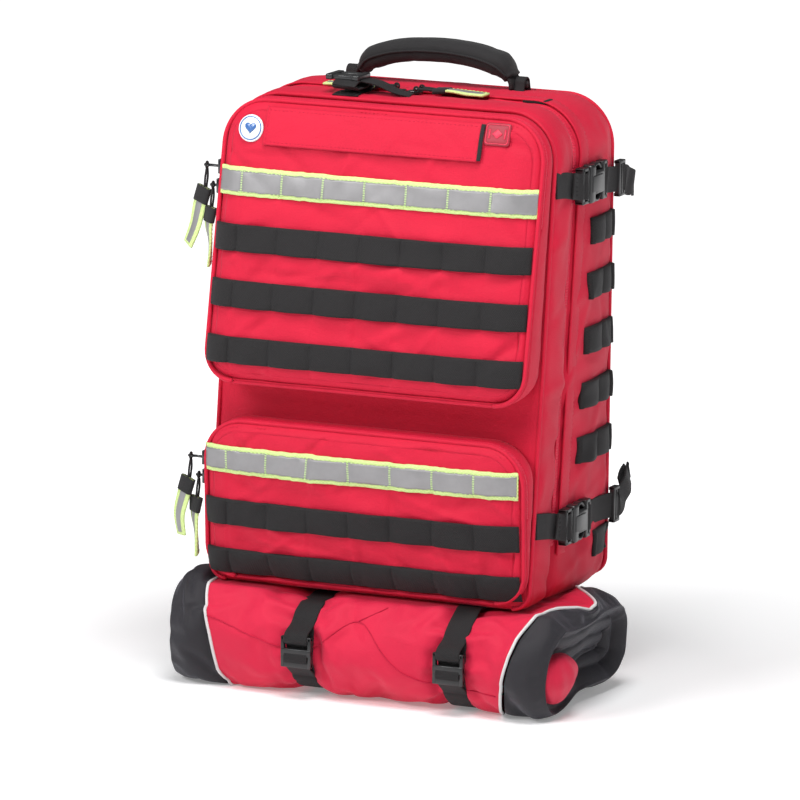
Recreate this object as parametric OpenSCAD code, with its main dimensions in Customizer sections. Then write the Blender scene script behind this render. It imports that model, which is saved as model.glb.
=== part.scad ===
// Trauma backpack standing on the rolled blanket that is strapped under it.
// +X is the bag's left-hand wall as worn (the viewer's right), -Y is the pocket side, +Z is up.
// The origin is on the ground under the roll, so the flat underside of the roll is at z = 0.

/* [Bag] */
// Width across the side walls
bag_w = 332; // [326:2:340]
// Height of the bag's underside above the ground
bag_foot = 98; // [98:1:104]
// Height of the bag's top above the ground
bag_top = 560; // [558:1:561]
// Corner radius at the top of the bag
shoulder_r = 48; // [44:1:52]
// Where the pocket panel meets the underside, fore and aft
seam_foot = -43; // [-45:0.5:-41]
// How far the pocket panel leans back for each millimetre of height
lean = 0.113; // [0.11:0.001:0.116]
// Depth of the front half, from pocket panel to main zip
front_half = 47; // [46:1:49]
// Fore and aft place of the back panel
back_y = 143; // [142:1:146]
// Thickness of the padded walls
wall = 6; // [5:0.5:6]

/* [Pockets] */
// Width of both front pockets
pocket_w = 328; // [322:1:328]
// Height of the upper pocket's lower edge
upper_low = 293; // [290:1:296]
// Height of the upper pocket's top edge
upper_high = 556; // [554:1:557]
// Height at which the upper pocket's front folds down
upper_fold = 454; // [452:1:456]
// Height of the lower pocket's lower edge
lower_low = 104; // [104:1:105]
// Height of the lower pocket's top edge
lower_high = 256; // [254:1:260]
// Height at which the lower pocket's front folds down
lower_fold = 185; // [184:1:187]
// Thickness of the pocket front panels
panel_t = 6; // [5:0.5:6]
// Thickness of a pocket gusset
gusset_t = 4; // [3:0.5:4]
// Width of the zip that rims a pocket
rim_zip = 6; // [5:0.5:6]

/* [Webbing] */
// Width of all webbing
web = 25; // [24:0.5:26]
// Thickness of one webbing layer
web_t = 2; // [1.6:0.1:2.2]
// Pitch of the webbing rows
row_pitch = 52; // [51:0.5:52]

/* [Blanket roll] */
// Height of the roll
roll_h = 97; // [95:1:97]
// Front of the roll, fore and aft
roll_front = -86; // [-90:1:-84]
// Rear of the roll, fore and aft
roll_rear = 122; // [118:1:126]
// Corner radius of the roll's section
roll_r = 42; // [38:1:44]
// Left end of the red cover
roll_left = -172; // [-176:1:-168]
// Right end of the red cover
roll_right = 178; // [174:1:182]

/* [Handle] */
// Height of the top of the carry handle above the ground
handle_peak = 607; // [606:1:610]
// Radius of the top of the handle's arch
handle_r = 128; // [126:1:130]

/* [Hidden] */
$fn = 48;

red = [0.86, 0.03, 0.16];
black = [0.1, 0.1, 0.11];
lime = [0.75, 0.93, 0.45];
silver = [0.6, 0.6, 0.62];
slate = [0.22, 0.22, 0.25];

half_w = bag_w / 2;
zip_w = 6;
zip_foot = 150;
seam_gap = 0.5;
upper_lean = 0.187;
lower_lean = -0.05;
upper_band = 480;
upper_rows = [for (i = [1 : 3]) upper_band - i * row_pitch];
lower_rows = [168.5, 120];
lower_band = 219;
side_pitch = 51.5;
side_rows = [for (i = [0 : 4]) 440 - i * side_pitch];
row_half = 161;
strap_heights = [487, 168];
strap_fronts = [44, 16];
roll_strap_x = [-51, 105];
handle_axis_z = bag_top + 10;
handle_y = 105;
handle_mid_z = handle_peak - handle_r;
shoulder_top = [58, back_y + 21, 525];
shoulder_tilt = 8.5;

// Fore and aft place of the pocket panel, the main zip and the pocket fronts at a height
function seam_y(z) = seam_foot + lean * (z - bag_foot);
function zip_y(z) = seam_y(z) + front_half;
function upper_y(z) = -60.5 + upper_lean * (z - 322);
function lower_y(z) = -55 + lower_lean * (z - 110);

// A prism across the bag from points given as [fore-aft, height]
module across(points, w, x = 0)
    translate([x - w / 2, 0, 0]) rotate([90, 0, 90]) linear_extrude(w) polygon(points);

// A prism along Y whose outline has round corners, low_r at its foot and high_r at its top
module outline(w, low, high, low_r, high_r, y0 = -140, y1 = 240)
    translate([0, y1, 0]) rotate([90, 0, 0]) linear_extrude(y1 - y0)
        round_corners(w, low, high, low_r, high_r);

module round_corners(w, low, high, low_r, high_r) {
    mid = (low + high) / 2;
    translate([-w / 2, low + low_r]) square([w, high - low - low_r - high_r]);
    translate([-w / 2 + low_r, low]) square([w - 2 * low_r, mid - low]);
    translate([-w / 2 + high_r, mid]) square([w - 2 * high_r, high - mid]);
    for (side = [-1, 1]) {
        translate([side * (w / 2 - low_r), low + low_r]) circle(low_r);
        translate([side * (w / 2 - high_r), high - high_r]) circle(high_r);
    }
}

// ---- main compartment ----
module front_shell() color(red) difference() {
    intersection() {
        across([[seam_y(bag_foot), bag_foot], [zip_y(bag_foot) + zip_w / 2, bag_foot],
                [zip_y(zip_foot) + zip_w / 2, zip_foot], [zip_y(zip_foot) - zip_w / 2, zip_foot],
                [zip_y(bag_top) - zip_w / 2, bag_top], [seam_y(bag_top), bag_top]], bag_w);
        outline(bag_w, bag_foot, bag_top, 18, shoulder_r);
    }
    intersection() {
        across([[seam_y(bag_foot) + wall, bag_foot], [zip_y(bag_foot) + 20, bag_foot],
                [zip_y(bag_top) + 20, bag_top], [seam_y(bag_top) + wall, bag_top]], bag_w);
        outline(bag_w - 2 * wall, bag_foot + wall, bag_top - wall, 14, shoulder_r - wall);
    }
}

module back_shell() color(red) difference() {
    intersection() {
        across([[zip_y(bag_foot) + zip_w / 2, bag_foot], [back_y, bag_foot], [back_y, bag_top],
                [zip_y(bag_top) + zip_w / 2, bag_top]], bag_w);
        outline(bag_w, bag_foot, bag_top, 18, shoulder_r);
    }
    intersection() {
        across([[zip_y(bag_foot) - 20, bag_foot], [back_y - wall, bag_foot], [back_y - wall, bag_top],
                [zip_y(bag_top) - 20, bag_top]], bag_w);
        outline(bag_w - 2 * wall, bag_foot + wall, bag_top - wall, 14, shoulder_r - wall);
    }
}

module main_zip_chain() color(red) difference() {
    intersection() {
        across([[zip_y(zip_foot) - zip_w / 2, zip_foot], [zip_y(zip_foot) + zip_w / 2, zip_foot],
                [zip_y(bag_top) + zip_w / 2, bag_top], [zip_y(bag_top) - zip_w / 2, bag_top]], bag_w);
        outline(bag_w, bag_foot, bag_top, 18, shoulder_r);
    }
    outline(bag_w - wall, bag_foot + wall / 2, bag_top - wall / 2, 16, shoulder_r - wall / 2);
}

// Stiff plastic sheet that carries the back panel
module frame_sheet() color(silver)
    intersection() {
        translate([-140, back_y - wall - 3, 0]) cube([280, 2.5, bag_top]);
        outline(280, bag_foot + 20, bag_top - 30, 20, 40);
    }

// Organiser pouches, hung on the back half with touch tape
pouch_w = 140;
pouch_d = 64;
module inner_pouches() color(slate)
    for (side = [-1, 1], low = [125, 320])
        translate([side * (pouch_w / 2 + 4) - pouch_w / 2, back_y - wall - 4 - pouch_d, low])
            cube([pouch_w, pouch_d, 180]);

module back_pad() color(black) intersection() {
    translate([-140, back_y, 0]) cube([280, 8, bag_top]);
    outline(280, bag_foot + 30, bag_top - 25, 40, 40);
}

// ---- pockets ----
module upper_outline() outline(pocket_w, upper_low, upper_high, 30, 42);
module upper_hollow() outline(pocket_w - 2 * gusset_t, upper_low + gusset_t, upper_high - gusset_t, 26, 38);
module lower_outline() outline(pocket_w, lower_low, lower_high, 30, 40);
module lower_hollow() outline(pocket_w - 2 * gusset_t, lower_low + gusset_t, lower_high - gusset_t, 26, 36);

module upper_pocket_gusset() color(red) difference() {
    intersection() {
        across([[upper_y(upper_low) + panel_t, upper_low], [seam_y(upper_low), upper_low],
                [seam_y(upper_high), upper_high], [upper_y(upper_high) + panel_t + rim_zip, upper_high],
                [upper_y(upper_fold) + panel_t + rim_zip, upper_fold],
                [upper_y(upper_fold) + panel_t, upper_fold]], pocket_w);
        upper_outline();
    }
    upper_hollow();
}

module upper_pocket_front() color(red) intersection() {
    across([[upper_y(upper_low), upper_low], [upper_y(upper_low) + panel_t, upper_low],
            [upper_y(upper_fold) + panel_t, upper_fold], [upper_y(upper_fold), upper_fold]], pocket_w);
    upper_outline();
}

module upper_pocket_flap() color(red) intersection() {
    low = upper_fold + seam_gap;
    across([[upper_y(low), low], [upper_y(low) + panel_t - seam_gap, low],
            [upper_y(upper_high) + panel_t - seam_gap, upper_high],
            [upper_y(upper_high), upper_high]], pocket_w);
    upper_outline();
}

module upper_zip_chain() color(red) difference() {
    intersection() {
        across([[upper_y(upper_fold) + panel_t, upper_fold],
                [upper_y(upper_fold) + panel_t + rim_zip, upper_fold],
                [upper_y(upper_high) + panel_t + rim_zip, upper_high],
                [upper_y(upper_high) + panel_t, upper_high]], pocket_w);
        upper_outline();
    }
    upper_hollow();
}

module lower_pocket_gusset() color(red) difference() {
    intersection() {
        across([[lower_y(lower_low) + panel_t, lower_low], [seam_y(lower_low), lower_low],
                [seam_y(lower_high), lower_high], [lower_y(lower_high) + panel_t + rim_zip, lower_high],
                [lower_y(lower_fold) + panel_t + rim_zip, lower_fold],
                [lower_y(lower_fold) + panel_t, lower_fold]], pocket_w);
        lower_outline();
    }
    lower_hollow();
}

module lower_pocket_front() color(red) intersection() {
    across([[lower_y(lower_low), lower_low], [lower_y(lower_low) + panel_t, lower_low],
            [lower_y(lower_fold) + panel_t, lower_fold], [lower_y(lower_fold), lower_fold]], pocket_w);
    lower_outline();
}

module lower_pocket_flap() color(red) intersection() {
    low = lower_fold + seam_gap;
    across([[lower_y(low), low], [lower_y(low) + panel_t - seam_gap, low],
            [lower_y(lower_high) + panel_t - seam_gap, lower_high],
            [lower_y(lower_high), lower_high]], pocket_w);
    lower_outline();
}

module lower_zip_chain() color(red) difference() {
    intersection() {
        across([[lower_y(lower_fold) + panel_t, lower_fold],
                [lower_y(lower_fold) + panel_t + rim_zip, lower_fold],
                [lower_y(lower_high) + panel_t + rim_zip, lower_high],
                [lower_y(lower_high) + panel_t, lower_high]], pocket_w);
        lower_outline();
    }
    lower_hollow();
}

// ---- webbing and trim on the pockets ----
module row(low_y, high_y, z, w) across([[low_y - web_t, z - web / 2], [low_y, z - web / 2],
    [high_y, z + web / 2], [high_y - web_t, z + web / 2]], w);
module upper_row(z) row(upper_y(z - web / 2), upper_y(z + web / 2), z, 2 * row_half);
module lower_row(z) row(lower_y(z - web / 2), lower_y(z + web / 2), z, 2 * row_half - 6);

module upper_webbing_rows() color(black) for (z = upper_rows) upper_row(z);
module lower_webbing_rows() color(black) {
    lower_row(lower_rows[0]);
    intersection() {
        lower_row(lower_rows[1]);
        lower_outline();
    }
}
module upper_reflective_strip() color(lime) upper_row(upper_band);
module lower_reflective_strip() color(lime) lower_row(lower_band);

// How far behind the main zip the side rows start
rows_from = 39;
module side_webbing_rows() color(black) for (side = [-1, 1], z = side_rows)
    translate([side > 0 ? half_w : -half_w - web_t, zip_y(z) + rows_from, z - web / 2])
        cube([web_t, back_y - 3 - zip_y(z) - rows_from, web]);

badge_r = 13;
badge_at = [-133, 529];
patch_at = [118, 541];
patch_w = 25;
patch_h = 21;
trim_t = 1.6;
flap_left = -118;
flap_right = 101;
flap_high = 550;
flap_drop = 35;
flap_t = 1.6;
flap_angle = atan(upper_lean);

// A flat piece that lies against the upper pocket's front at a height
module on_upper(x, z) translate([x, upper_y(z), z]) rotate([-flap_angle, 0, 0]) children();

module round_badge() color("white")
    on_upper(badge_at[0], badge_at[1]) rotate([90, 0, 0]) cylinder(h = trim_t, r = badge_r);
module square_patch() color(red)
    on_upper(patch_at[0], patch_at[1]) translate([-patch_w / 2, -trim_t, -patch_h / 2])
        cube([patch_w, trim_t, patch_h]);
module name_flap() color(red)
    on_upper(0, flap_high) translate([flap_left, -flap_t - 1, -flap_drop])
        cube([flap_right - flap_left, flap_t, flap_drop]);

// ---- blanket roll ----
module roll_section(inset, w, x)
    translate([x - w / 2, 0, 0]) rotate([90, 0, 90]) linear_extrude(w)
        translate([(roll_front + roll_rear) / 2, 0])
            round_corners(roll_rear - roll_front - 2 * inset, inset, roll_h - inset,
                          roll_r - inset, roll_r - inset);

module roll_blanket() color(red) difference() {
    roll_section(0, roll_right - roll_left, (roll_right + roll_left) / 2);
    for (x = roll_strap_x) difference() {
        translate([x - web / 2, -200, -50]) cube([web, 500, 300]);
        roll_section(web_t, 2 * web, x);
    }
}
module roll_straps() color(black) for (x = roll_strap_x) difference() {
    roll_section(0, web, x);
    roll_section(web_t, 2 * web, x);
}
end_inset = 5;
left_end = 52;
right_end = 28;
module roll_ends() color(slate) {
    roll_section(end_inset, left_end, roll_left - left_end / 2);
    roll_section(end_inset, right_end, roll_right + right_end / 2);
}

// Ladder lock: a frame with two slots for the strap, hinged on its top bar
lock_w = 31;
lock_h = 30;
lock_t = 5;
lock_top = 62;
lock_gap = 1.5;
module ladder_lock(x) color(black)
    translate([x - lock_w / 2, roll_front - lock_gap - lock_t, lock_top - lock_h]) difference() {
        cube([lock_w, lock_t, lock_h]);
        for (z = [7, 19]) translate([3, -1, z]) cube([lock_w - 6, lock_t + 2, 3.6]);
    }
module ladder_lock_left() ladder_lock(roll_strap_x[0]);
module ladder_lock_right() ladder_lock(roll_strap_x[1]);

// ---- carry handle ----
sleeve_w = 32;
sleeve_t = 20;
sleeve_half = 33;
pivot_r = 4;
pivot_x = 80;
module arch(r, t, half, w) translate([0, handle_y, handle_mid_z]) rotate([90, 0, 0])
    translate([0, 0, -w / 2]) rotate([0, 0, 90 - half]) rotate_arc(r, t, 2 * half, w);
module rotate_arc(r, t, span, w) rotate_extrude(angle = span, $fn = 96) translate([r - t, 0]) square([t, w]);

// A point on the sleeve's end face, so far from its inner curve, as [across, height]
function sleeve_end(side, out) = [side * (handle_r - sleeve_t + out) * sin(sleeve_half),
                                  handle_mid_z + (handle_r - sleeve_t + out) * cos(sleeve_half)];
module handle_sleeve() color(black) arch(handle_r, sleeve_t, sleeve_half, sleeve_w);
module handle_strap() color(black) for (side = [-1, 1]) {
    translate([0, handle_y + web / 2, 0]) rotate([90, 0, 0]) linear_extrude(web)
        polygon([sleeve_end(side, 6), [side * (pivot_x - 2), handle_axis_z - 1.5],
                 [side * (pivot_x + 1), handle_axis_z + 3], sleeve_end(side, 15)]);
    translate([side > 0 ? pivot_x - 2 : -pivot_x - 8, handle_y, handle_axis_z]) rotate([0, 90, 0])
        cylinder(h = 10, r = pivot_r);
}
module handle_anchors() color(black) for (side = [-1, 1]) difference() {
    translate([side > 0 ? pivot_x + 2 : -pivot_x - 12, handle_y - 14, bag_top]) cube([10, 28, 16]);
    translate([side * (pivot_x - 10), handle_y, handle_axis_z]) rotate([0, side * 90, 0])
        cylinder(h = 30, r = pivot_r + 0.05);
}

// Folded strap and its buckle, parked on top of the bag ahead of the handle
module top_strap() color(black) {
    translate([-68, 14, bag_top]) cube([30, 32, 12]);
    translate([-38, 18, bag_top]) cube([32, 22, 9]);
}

// ---- side compression straps ----
plug_w = 34;
plug_l = 16;
plug_t = 9;
prong_l = 22;
socket_l = 42;
socket_w = 36;
socket_t = 12;
fit_gap = 0.6;
plug_x = half_w + 2.4;
module for_straps() for (i = [0, 1], side = [0, 1]) mirror([side, 0, 0])
    translate([0, strap_fronts[i], strap_heights[i]]) children();

module side_strap_fronts() color(black) for (i = [0, 1], side = [0, 1]) mirror([side, 0, 0])
    translate([half_w, seam_y(strap_heights[i]) + 2, strap_heights[i] - web / 2])
        cube([1.8, strap_fronts[i] - seam_y(strap_heights[i]), web]);

module plug(i) translate([0, strap_fronts[i], strap_heights[i]]) color(black) {
    translate([plug_x, 0, -plug_w / 2]) cube([plug_t, plug_l, plug_w]);
    for (z = [-13, -2.5, 8]) translate([plug_x + 2, plug_l, z]) cube([5, prong_l, 5]);
}
module plug_upper_right() plug(0);
module plug_upper_left() mirror([1, 0, 0]) plug(0);
module plug_lower_right() plug(1);
module plug_lower_left() mirror([1, 0, 0]) plug(1);

module buckle_sockets() color(black) for_straps() difference() {
    translate([half_w + 0.4, plug_l + fit_gap, -socket_w / 2]) cube([socket_t, socket_l, socket_w]);
    translate([plug_x + 2 - fit_gap, plug_l, -13 - fit_gap])
        cube([5 + 2 * fit_gap, prong_l + 4, 26 + 2 * fit_gap]);
}

adjuster_y = back_y - 8;
module side_strap_rears() color(black) for (i = [0, 1], side = [0, 1]) mirror([side, 0, 0]) {
    y0 = strap_fronts[i] + plug_l + fit_gap + socket_l;
    translate([half_w + 2.2, y0, strap_heights[i] - web / 2]) cube([web_t, adjuster_y - y0, web]);
    translate([half_w + 6, adjuster_y + 14, strap_heights[i] - web / 2 - 6]) cube([web_t + 1, 22, web]);
}
module strap_adjusters() color(black) for (z = strap_heights, side = [0, 1]) mirror([side, 0, 0])
    translate([half_w, adjuster_y, z - plug_w / 2]) cube([10, 14, plug_w]);

// ---- harness ----
yoke_y = back_y + 8;
module shoulder_yoke() color(black)
    translate([-90, yoke_y, 517]) cube([180, 15, 30]);
module lower_strap_anchors() color(black) for (side = [0, 1]) mirror([side, 0, 0]) {
    translate([100, back_y, bag_foot + 4]) cube([40, 20, 22]);
    translate([half_w, 92, 124]) cube([web_t + 1, back_y - 92, web]);
}

// One shoulder strap in its own frame: down along -Z from its top end, bowed towards +Y
pad_from = 40;
pad_to = 270;
pad_t = 14;
pad_bow = 15;
strap_end = 392;
function bow(u) = pad_bow * sin(180 * (u - pad_from) / (pad_to - pad_from));
module shoulder_strap() color(black)
    translate(shoulder_top) rotate([0, -shoulder_tilt, 0]) {
        across(concat([for (u = [pad_from : 23 : pad_to]) [bow(u), -u]],
                      [for (u = [pad_to : -23 : pad_from]) [bow(u) + pad_t, -u]]), 56);
        across([[0, -12], [4, -12], [4, -pad_from], [0, -pad_from]], web);
        across([[2, -pad_to], [2, -strap_end], [5, -strap_end], [5, -pad_to]], web);
    }
module shoulder_strap_right() shoulder_strap();
module shoulder_strap_left() mirror([1, 0, 0]) shoulder_strap();

// ---- zip sliders and pulls ----
slider_x = -pocket_w / 2;
slider_h = 14;
high_out = 18;
low_out = 10;
pull_drop = 78;
tab_t = 3.5;
tab_w = 17;
// A slider on the left edge of a pocket; reach is how far out its pull hangs
module side_slider(y, z, reach) color(black) {
    translate([slider_x - 5, y - 4.5, z - slider_h / 2]) cube([4.6, 9, slider_h]);
    translate([slider_x - reach - tab_t / 2 - 1, y, z]) rotate([0, 90, 0])
        cylinder(h = reach + tab_t / 2 - 3, r = 1.5);
}
module side_pull(y, z, reach) color(lime)
    translate([slider_x - reach, y, z]) {
        rotate([0, 90, 0]) difference() {
            cylinder(h = tab_t, r = 4, center = true);
            cylinder(h = tab_t + 2, r = 1.56, center = true);
        }
        translate([-tab_t / 2, -2, -22]) cube([tab_t, 4, 18.5]);
        translate([-tab_t / 2, -tab_w / 2, -pull_drop]) cube([tab_t, tab_w, pull_drop - 22]);
    }
upper_slider_z = [490, 472];
lower_slider_z = [216, 198];
function upper_slider_y(z) = upper_y(z) + panel_t + rim_zip / 2 + 2;
function lower_slider_y(z) = lower_y(z) + panel_t + rim_zip / 2 + 2;
module upper_slider_high() side_slider(upper_slider_y(upper_slider_z[0]), upper_slider_z[0], high_out);
module upper_slider_low() side_slider(upper_slider_y(upper_slider_z[1]), upper_slider_z[1], low_out);
module upper_pull_high() side_pull(upper_slider_y(upper_slider_z[0]), upper_slider_z[0], high_out);
module upper_pull_low() side_pull(upper_slider_y(upper_slider_z[1]), upper_slider_z[1], low_out);
module lower_slider_high() side_slider(lower_slider_y(lower_slider_z[0]), lower_slider_z[0], high_out);
module lower_slider_low() side_slider(lower_slider_y(lower_slider_z[1]), lower_slider_z[1], low_out);
module lower_pull_high() side_pull(lower_slider_y(lower_slider_z[0]), lower_slider_z[0], high_out);
module lower_pull_low() side_pull(lower_slider_y(lower_slider_z[1]), lower_slider_z[1], low_out);

// The main zip's two sliders meet on top of the bag, a little left of the middle
main_meet = -10;
main_lift = 6;
module main_slider(side) color(black) translate([main_meet + side * 9, zip_y(bag_top), bag_top]) {
    translate([-7, -5, 0]) cube([14, 10, 4]);
    translate([side * 5, 0, main_lift]) rotate([90, 0, 0]) cylinder(h = 16, r = 1.5, center = true);
    translate([side * 5 - 1.5, -5, 3]) cube([3, 10, 3]);
}
module main_pull(side) color(lime)
    translate([main_meet + side * 14, zip_y(bag_top), bag_top + main_lift]) for (y = [-7, 5.5]) {
        translate([0, y, 0]) rotate([-90, 0, 0]) difference() {
            cylinder(h = 1.5, r = 3);
            translate([0, 0, -1]) cylinder(h = 4, r = 1.56);
        }
        translate([side > 0 ? 2.4 : -18.4, y, -1.5]) cube([16, 1.5, 3]);
        translate([side > 0 ? 18 : -70, -8.5, -1.75]) cube([52, 17, 3.5]);
    }
module main_slider_left() main_slider(-1);
module main_slider_right() main_slider(1);
module main_pull_left() main_pull(-1);
module main_pull_right() main_pull(1);

back_shell();
front_shell();
main_zip_chain();
frame_sheet();
back_pad();
inner_pouches();
upper_pocket_gusset();
upper_pocket_front();
upper_zip_chain();
upper_webbing_rows();
lower_pocket_gusset();
lower_pocket_front();
lower_zip_chain();
lower_webbing_rows();
side_webbing_rows();
handle_anchors();
side_strap_fronts();
side_strap_rears();
buckle_sockets();
strap_adjusters();
top_strap();
roll_blanket();
roll_ends();
roll_straps();
shoulder_yoke();
lower_strap_anchors();
upper_pocket_flap();
upper_reflective_strip();
round_badge();
square_patch();
name_flap();
lower_pocket_flap();
lower_reflective_strip();
handle_strap();
handle_sleeve();
upper_slider_high();
upper_slider_low();
lower_slider_high();
lower_slider_low();
main_slider_left();
main_slider_right();
upper_pull_high();
upper_pull_low();
lower_pull_high();
lower_pull_low();
main_pull_left();
main_pull_right();
plug_upper_right();
plug_upper_left();
plug_lower_right();
plug_lower_left();
ladder_lock_left();
ladder_lock_right();
shoulder_strap_right();
shoulder_strap_left();
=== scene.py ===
import math

import bmesh
import bpy
import numpy as np
from mathutils import Matrix, Vector
from mathutils.bvhtree import BVHTree


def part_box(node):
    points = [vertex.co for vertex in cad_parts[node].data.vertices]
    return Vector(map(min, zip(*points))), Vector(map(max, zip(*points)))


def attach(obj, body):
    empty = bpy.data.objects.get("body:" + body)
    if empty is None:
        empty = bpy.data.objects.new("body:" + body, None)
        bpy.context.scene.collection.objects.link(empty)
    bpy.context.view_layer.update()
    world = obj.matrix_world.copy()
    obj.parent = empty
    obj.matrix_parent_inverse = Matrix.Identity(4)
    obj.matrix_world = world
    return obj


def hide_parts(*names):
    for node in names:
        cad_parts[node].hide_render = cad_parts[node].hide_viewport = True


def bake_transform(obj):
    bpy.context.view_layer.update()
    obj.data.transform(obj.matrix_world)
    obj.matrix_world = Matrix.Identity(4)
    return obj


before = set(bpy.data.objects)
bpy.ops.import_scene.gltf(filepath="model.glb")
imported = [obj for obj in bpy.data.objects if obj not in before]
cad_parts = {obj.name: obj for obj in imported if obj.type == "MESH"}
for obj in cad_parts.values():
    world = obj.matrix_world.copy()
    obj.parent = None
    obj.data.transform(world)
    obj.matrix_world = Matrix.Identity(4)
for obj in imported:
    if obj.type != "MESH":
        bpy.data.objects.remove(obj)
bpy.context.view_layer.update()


# ---------------------------------------------------------------- camera, light and floor
# A plain pale studio: white floor, one big soft light from the front left and a weaker fill.
# The camera stands to the bag's right of centre, a little above it, with a long lens.
camera_azimuth = math.radians(24.26)
camera_height = math.radians(10.9)
camera_roll = math.radians(0.64)
camera_distance = 7.0
lens_mm = 331.7
look_at = Vector((-0.0166, 0.0636, 0.2648))

back = Vector((math.sin(camera_azimuth) * math.cos(camera_height),
               -math.cos(camera_azimuth) * math.cos(camera_height), math.sin(camera_height)))
right = Vector((math.cos(camera_azimuth), math.sin(camera_azimuth), 0))
up = back.cross(right)
facing = Matrix((right, up, back)).transposed() @ Matrix.Rotation(camera_roll, 3, "Z")
camera = bpy.data.objects.new("camera", bpy.data.cameras.new("camera"))
bpy.context.collection.objects.link(camera)
camera.matrix_world = Matrix.Translation(look_at + back * camera_distance) @ facing.to_4x4()
camera.data.lens = lens_mm
camera.data.sensor_width = 36
camera.data.clip_end = 60
bpy.context.scene.camera = camera
bpy.context.scene.view_settings.view_transform = "Standard"


def soft_light(name, place, target, size, watts):
    """A square area lamp at place, turned to face target."""
    lamp = bpy.data.objects.new(name, bpy.data.lights.new(name, "AREA"))
    lamp.data.size = size
    lamp.data.energy = watts
    lamp.location = place
    lamp.rotation_euler = (Vector(target) - Vector(place)).to_track_quat("-Z", "Y").to_euler()
    bpy.context.collection.objects.link(lamp)
    return lamp


soft_light("key_light", (-1.3, -2.2, 2.1), (0, 0, 0.3), 1.2, 55)
soft_light("fill_light", (2.6, -1.0, 1.5), (0, 0, 0.3), 1.6, 11)
soft_light("top_light", (0.5, -0.9, 2.9), (0, 0, 0.4), 1.2, 72)
world = bpy.data.worlds.new("studio")
bpy.context.scene.world = world
world.use_nodes = True
world.node_tree.nodes["Background"].inputs[0].default_value = (1, 1, 1, 1)
world.node_tree.nodes["Background"].inputs[1].default_value = 0.13

floor_mesh = bpy.data.meshes.new("floor")
floor_mesh.from_pydata([(-30, -30, 0), (30, -30, 0), (30, 30, 0), (-30, 30, 0)], [], [(0, 1, 2, 3)])
floor = bpy.data.objects.new("floor", floor_mesh)
bpy.context.collection.objects.link(floor)
floor_paint = bpy.data.materials.new("floor_paint")
floor_paint.use_nodes = True
floor_shader = floor_paint.node_tree.nodes["Principled BSDF"]
floor_shader.inputs["Base Color"].default_value = (0.93, 0.93, 0.94, 1)
floor_shader.inputs["Roughness"].default_value = 0.32
floor_shader.inputs["Specular IOR Level"].default_value = 0.35
floor_shader.inputs["Emission Color"].default_value = (1, 1, 1, 1)
floor_tree = floor_paint.node_tree
floor_place = floor_tree.nodes.new("ShaderNodeTexCoord")
floor_away = floor_tree.nodes.new("ShaderNodeVectorMath")
floor_away.operation = "LENGTH"
floor_glow = floor_tree.nodes.new("ShaderNodeMapRange")
floor_glow.inputs["From Min"].default_value = 0.35
floor_glow.inputs["From Max"].default_value = 1.1
floor_glow.inputs["To Min"].default_value = 0.20
floor_glow.inputs["To Max"].default_value = 0.90
floor_tree.links.new(floor_place.outputs["Object"], floor_away.inputs[0])
floor_tree.links.new(floor_away.outputs["Value"], floor_glow.inputs["Value"])
floor_tree.links.new(floor_glow.outputs["Result"], floor_shader.inputs["Emission Strength"])
floor_mesh.materials.append(floor_paint)


# ---------------------------------------------------------------- main bag
# Two padded nylon halves, sewn together at the foot and zipped round the rest. The pocket panel
# leans back as it rises, so every fore-and-aft place is a straight function of height.
def shader_tree(name):
    """An empty material with its shader and a short way to add and join nodes."""
    material = bpy.data.materials.new(name)
    material.use_nodes = True
    tree = material.node_tree
    shader = tree.nodes["Principled BSDF"]

    def add(kind, **settings):
        made = tree.nodes.new(kind)
        for key, value in settings.items():
            if key in made.inputs:
                made.inputs[key].default_value = value
            else:
                setattr(made, key, value)
        return made

    return material, tree, shader, add


def tinted(tree, add, colour, factor_socket, low, high):
    """A colour that runs from low to high times the given one as the factor runs from 0 to 1."""
    ramp = add("ShaderNodeValToRGB")
    for stop, gain in zip(ramp.color_ramp.elements, (low, high)):
        stop.color = (*[min(1, c * gain) for c in colour], 1)
    tree.links.new(factor_socket, ramp.inputs["Fac"])
    return ramp.outputs["Color"]


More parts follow.
